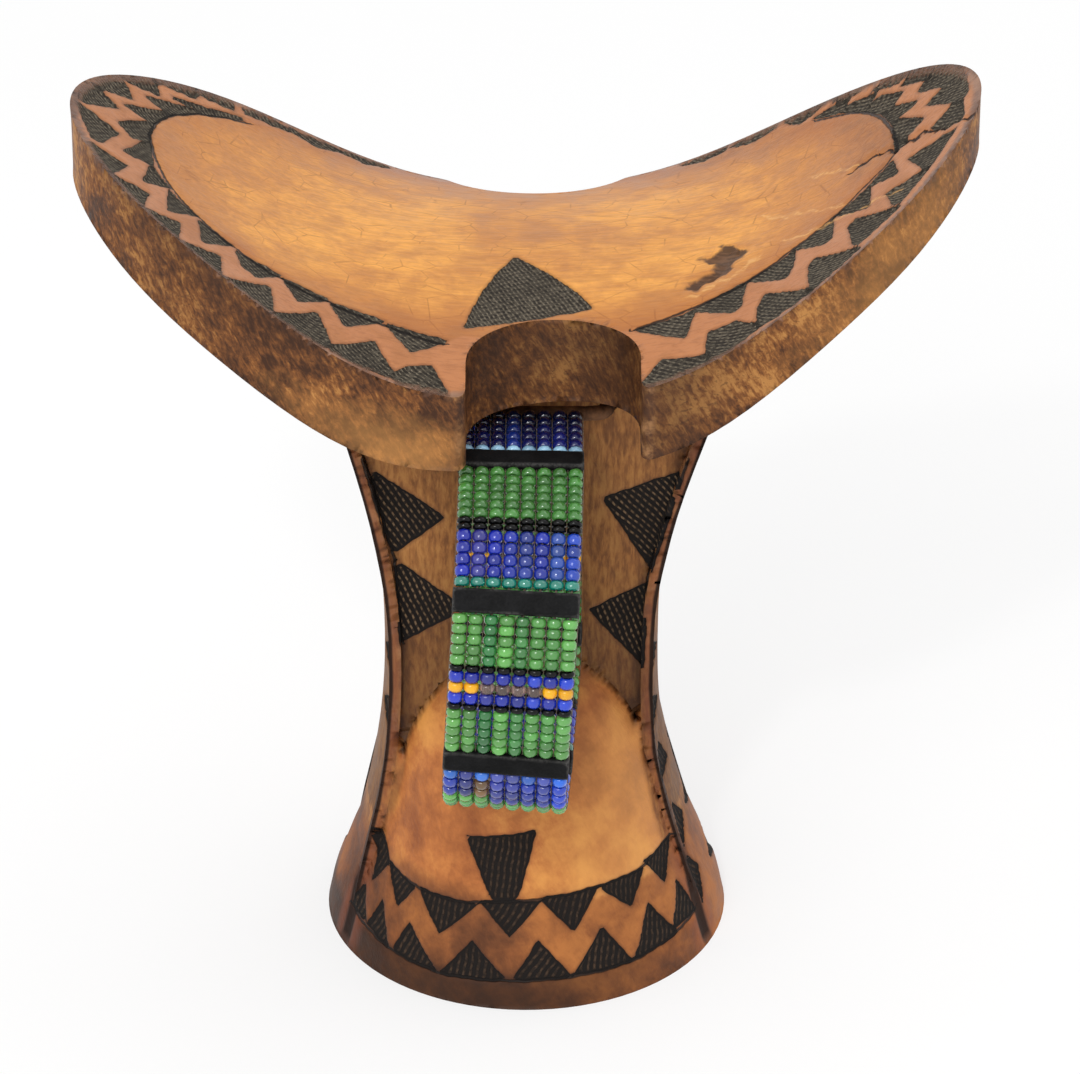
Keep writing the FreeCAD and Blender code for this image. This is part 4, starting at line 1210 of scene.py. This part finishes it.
def makeBeads(settings):
    rng = random.Random(settings["seed"])
    materials = {kind: glassMaterial(kind, finish) for kind, finish in glassFinishes.items()}
    for name in beadNodes:
        kind, stretch = name.split("_beads_")
        places = allPlaces[name]
        shape = beadShape(settings, float(np.median([place[4] for place in places])))
        widths = columnWidths.get(kind + "_" + stretch, [1.0] * 8)
        bm = bmesh.new()
        glass = bm.verts.layers.float_color.new("glass")
        for row, column, middle, axis, length in places:
            start = len(bm.verts)
            bm.from_mesh(shape)
            bm.verts.ensure_lookup_table()
            verts = bm.verts[start:]
            wide = min(widths[column] * (1 + rng.uniform(-1, 0.2) * settings["sizeSpread"]), 1.08)
            tall = settings["tall"] * (1 + rng.uniform(-1, 0.6) * settings["sizeSpread"])
            turn = Vector((0, 0, 1)).rotation_difference(Vector(axis)).to_matrix().to_4x4()
            lean = Matrix.Rotation(math.radians(rng.uniform(-1, 1) * settings["tilt"]), 4,
                                   Vector((rng.uniform(-1, 1), rng.uniform(-1, 1), 0.01)))
            spin = Matrix.Rotation(rng.uniform(0, math.pi), 4, "Z")
            size = Matrix.Diagonal((wide, wide, tall, 1))
            widened = Matrix.Diagonal((settings["sideways"], 1, 1, 1))
            matrix = Matrix.Translation(Vector(middle)) @ widened @ turn @ lean @ spin @ size
            bmesh.ops.transform(bm, matrix=matrix, verts=verts)
            light = 1 + rng.uniform(-0.13, 0.13)
            shade = paint(*(min(255, value * light) for value in paintOf(name, column, row)))
            for vert in verts:
                vert[glass] = shade
        bmesh.ops.recalc_face_normals(bm, faces=bm.faces)
        pieceName = (kind + "_beads_" + stretch).title().replace("_", "")
        pieceName = pieceName[0].lower() + pieceName[1:]
        data = meshFrom(bm, pieceName)
        data.materials.append(materials[kind])
        placeObject(pieceName, data, "bead_loop", kind + "_glass", name)


makeBeads(beadSettings)
print("beads made")

# Strings through the beads, one for each column, and the thinner thread seen between columns
stringSettings = {
    "thickness": 0.0005,
    "threadShare": 0.24,
    "threadLift": 0.2,
    "dark": paint(66, 54, 42),
    "light": paint(138, 122, 104),
}


def stringMaterial(settings):
    material, tree, shader = newMaterial("threadFibre")
    fibres = speckle(tree, (2400, 2400, 900), 4.0, 0.7, 0.5)
    colour = mixPaint(stepBetween(fibres, 0.3, 0.7), settings["dark"], settings["light"])
    feed(shader.inputs["Base Color"], colour)
    feed(shader.inputs["Roughness"], stepBetween(fibres, 0.3, 0.7, 0.7, 0.9))
    feed(shader.inputs["Normal"], bumpOf(fibres, 0.0001, 0.8))
    return material


def makeStrings(settings):
    columns = {}
    for places in allPlaces.values():
        for row, column, middle, axis, length in places:
            columns.setdefault(column, []).append(middle)
    strung = [np.array(sorted(columns[column], key=stationOf)) for column in sorted(columns)]
    routes = [(middles, 1.0) for middles in strung]
    # Threads lie between neighbouring columns and along both sides, a little outwards
    for number in range(len(strung) + 1):
        first = strung[max(number - 1, 0)]
        second = strung[min(number, len(strung) - 1)]
        middles = (first + second) / 2
        sideways = strung[1] - strung[0]
        if number == 0:
            middles = middles - sideways / 2
        if number == len(strung):
            middles = middles + sideways / 2
        onward = np.roll(middles, -1, axis=0) - np.roll(middles, 1, axis=0)
        outward = np.cross(onward, sideways)
        outward /= np.linalg.norm(outward, axis=1)[:, None]
        outward *= np.sign(((middles - loopMiddle) * outward).sum(1))[:, None]
        routes.append((middles + outward * settings["threadLift"] * mm, settings["threadShare"]))
    joined = newCurve("beadStrings", settings["thickness"], 1, 2)
    for middles, share in routes:
        addLine(joined, middles, True, share)
    joined.materials.append(stringMaterial(settings))
    placeObject("beadStrings", joined, "bead_loop", "string", "bead_strings")


makeStrings(stringSettings)
print("strings made")

# Leather bars of the bead loop
barSettings = {"voxel": 0.00034, "dents": 0.07, "dentScale": 420}


def wearLeather(data, leather, dentScale, depth):
    # Edges marked for the rubbed colour, and shallow dents
    points = pointsOf(data)
    normals = normalsOf(data)
    saveAttribute(data, "edge", np.clip(convexity(data, points / mm, normals, 5) * 9, -1, 1))
    dents = np.array([noise.noise(Vector(point) * dentScale) for point in points])
    movePoints(data, points - normals * (0.5 + 0.5 * dents)[:, None] * depth * mm)
    data.materials.clear()
    data.materials.append(leather)


def makeBars(settings):
    for name in sorted(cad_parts):
        if not name.startswith("spacer_bar"):
            continue
        words = name.split("_")
        pieceName = "leatherBar" + "".join(word.title() for word in words[2:])
        data = remeshedCopy(pieceName, name, settings["voxel"])
        bm = bmesh.new()
        bm.from_mesh(data)
        bmesh.ops.smooth_vert(bm, verts=bm.verts, factor=0.5, use_axis_x=True, use_axis_y=True,
                              use_axis_z=True)
        bm.to_mesh(data)
        bm.free()
        wearLeather(data, barLeather, settings["dentScale"], settings["dents"])
        placeObject(pieceName, data, "bead_loop", "bar_leather", name)


makeBars(barSettings)
print("bars made")

# Thong through the neck and its knot behind
thongSettings = {
    "thickness": 0.0029,
    "height": 124.0,
    "route": [(-3.5, 17.9), (-9, 17.9), (-14.2, 17.9), (-17.2, 17.3), (-17.8, 14.2), (-17.8, 8),
              (-17.8, 0), (-17.8, -8), (-17.8, -14.2), (-17.2, -17.3), (-14.2, -17.9), (-8, -17.9),
              (-0.8, -17.9), (6.4, -17.9), (12.6, -17.9), (15.6, -17.3), (16.2, -14.2), (16.2, -8),
              (16.2, 0), (16.2, 8), (16.2, 14.2), (15.6, 17.3), (12.6, 17.9), (7.4, 17.9),
              (1.9, 17.9)],
    "knotReach": (0.95, 0.42, 0.8),
    "knotVoxel": 0.00028,
    "knotMiddle": (-0.8, 17.9, 124.2),
    "knotTurns": 36,
    "dents": 0.15,
    "dentScale": 500,
}


def makeThong(settings):
    route = [(x, y, settings["height"]) for x, y in settings["route"]]
    curve = routeCurve("leatherThong", route, settings["thickness"], rings=4)
    curve.materials.append(thongLeather)
    placeObject("leatherThong", curve, "headrest", "thong_leather", "leather_thong")


def makeKnot(settings):
    # The thong's own line, wound over and under itself into a tight lump
    wide, deep, tall = settings["knotReach"]
    turns = []
    for step in range(settings["knotTurns"]):
        t = 2 * math.pi * step / settings["knotTurns"]
        turns.append((wide * (math.sin(t) + 2 * math.sin(2 * t)), -3 * deep * math.sin(3 * t),
                      tall * (math.cos(t) - 2 * math.cos(2 * t))))
    middle = Vector(settings["knotMiddle"])
    curve = routeCurve("knotLine", [Vector(turn) + middle for turn in turns],
                       settings["thickness"] * 0.86, cyclic=True)
    data = remeshed("thongKnot", curve, settings["knotVoxel"])
    wearLeather(data, thongLeather, settings["dentScale"], settings["dents"])
    placeObject("thongKnot", data, "headrest", "thong_leather", "thong_knot")


makeThong(thongSettings)
makeKnot(thongSettings)
print("thong and knot made")

# Floor, backdrop and light
stageSettings = {
    "floorReach": 6.0,
    "floorPaint": (0.97, 0.97, 0.97, 1.0),
    "floorGlow": 0.62,
    "skyStrength": 0.8,
    # Place, power and size
    "lamps": {"keyLamp": ((-0.4, -1.0, 0.95), 5.8, 0.8),
              "glintLamp": ((-0.25, -0.9, 1.0), 2.2, 0.1),
              "fillLamp": ((0.6, 0.3, 1.1), 1.6, 0.9)},
}


def shownDirectly(tree):
    # One where the camera sees a surface, also in gloss and through glass
    path = tree.nodes.new("ShaderNodeLightPath")
    seen = Value(path.outputs["Is Camera Ray"])
    for name in ("Is Glossy Ray", "Is Transmission Ray"):
        seen = calc("MAXIMUM", seen, Value(path.outputs[name]))
    return seen


def makeFloor(settings):
    bm = bmesh.new()
    bmesh.ops.create_grid(bm, x_segments=1, y_segments=1, size=settings["floorReach"])
    floor = newObject("floor", meshFrom(bm, "floor", smooth=False))
    material, tree, shader = newMaterial("palePaper")
    fibres = speckle(tree, (180, 180, 180), 3.0)
    colour = mixPaint(stepBetween(fibres, 0.3, 0.7, 0.0, 0.02), settings["floorPaint"],
                      paint(235, 235, 235))
    feed(shader.inputs["Base Color"], colour)
    shader.inputs["Roughness"].default_value = 0.9
    shader.inputs["Specular IOR Level"].default_value = 0.1
    # Seen by the camera the paper is nearly white and keeps its shadow
    glow = tree.nodes.new("ShaderNodeEmission")
    glow.inputs["Color"].default_value = (1, 1, 1, 1)
    both = tree.nodes.new("ShaderNodeMixShader")
    seen = shownDirectly(tree)
    feed(both.inputs[0], seen * settings["floorGlow"])
    tree.links.new(shader.outputs[0], both.inputs[1])
    tree.links.new(glow.outputs[0], both.inputs[2])
    tree.links.new(both.outputs[0], tree.nodes["Material Output"].inputs["Surface"])
    floor.data.materials.append(material)


def makeSky(settings):
    world = bpy.data.worlds.new("studio")
    scene.world = world
    world.use_nodes = True
    tree = world.node_tree
    back = tree.nodes["Background"]
    back.inputs["Color"].default_value = (1, 1, 1, 1)
    shown = shownDirectly(tree)
    feed(back.inputs["Strength"], stepBetween(shown, 0.0, 1.0, settings["skyStrength"], 1.0))


def makeLamp(name, place, power, size):
    data = bpy.data.lights.new(name, "AREA")
    data.energy = power
    data.shape = "DISK"
    data.size = size
    lamp = newObject(name, data)
    lamp.location = place
    aim = Vector((0, 0, 0.09)) - Vector(place)
    lamp.rotation_euler = aim.to_track_quat("-Z", "Y").to_euler()


makeFloor(stageSettings)
makeSky(stageSettings)
for name, lamp in stageSettings["lamps"].items():
    makeLamp(name, *lamp)
scene.view_settings.view_transform = "Standard"
print("floor and light made")
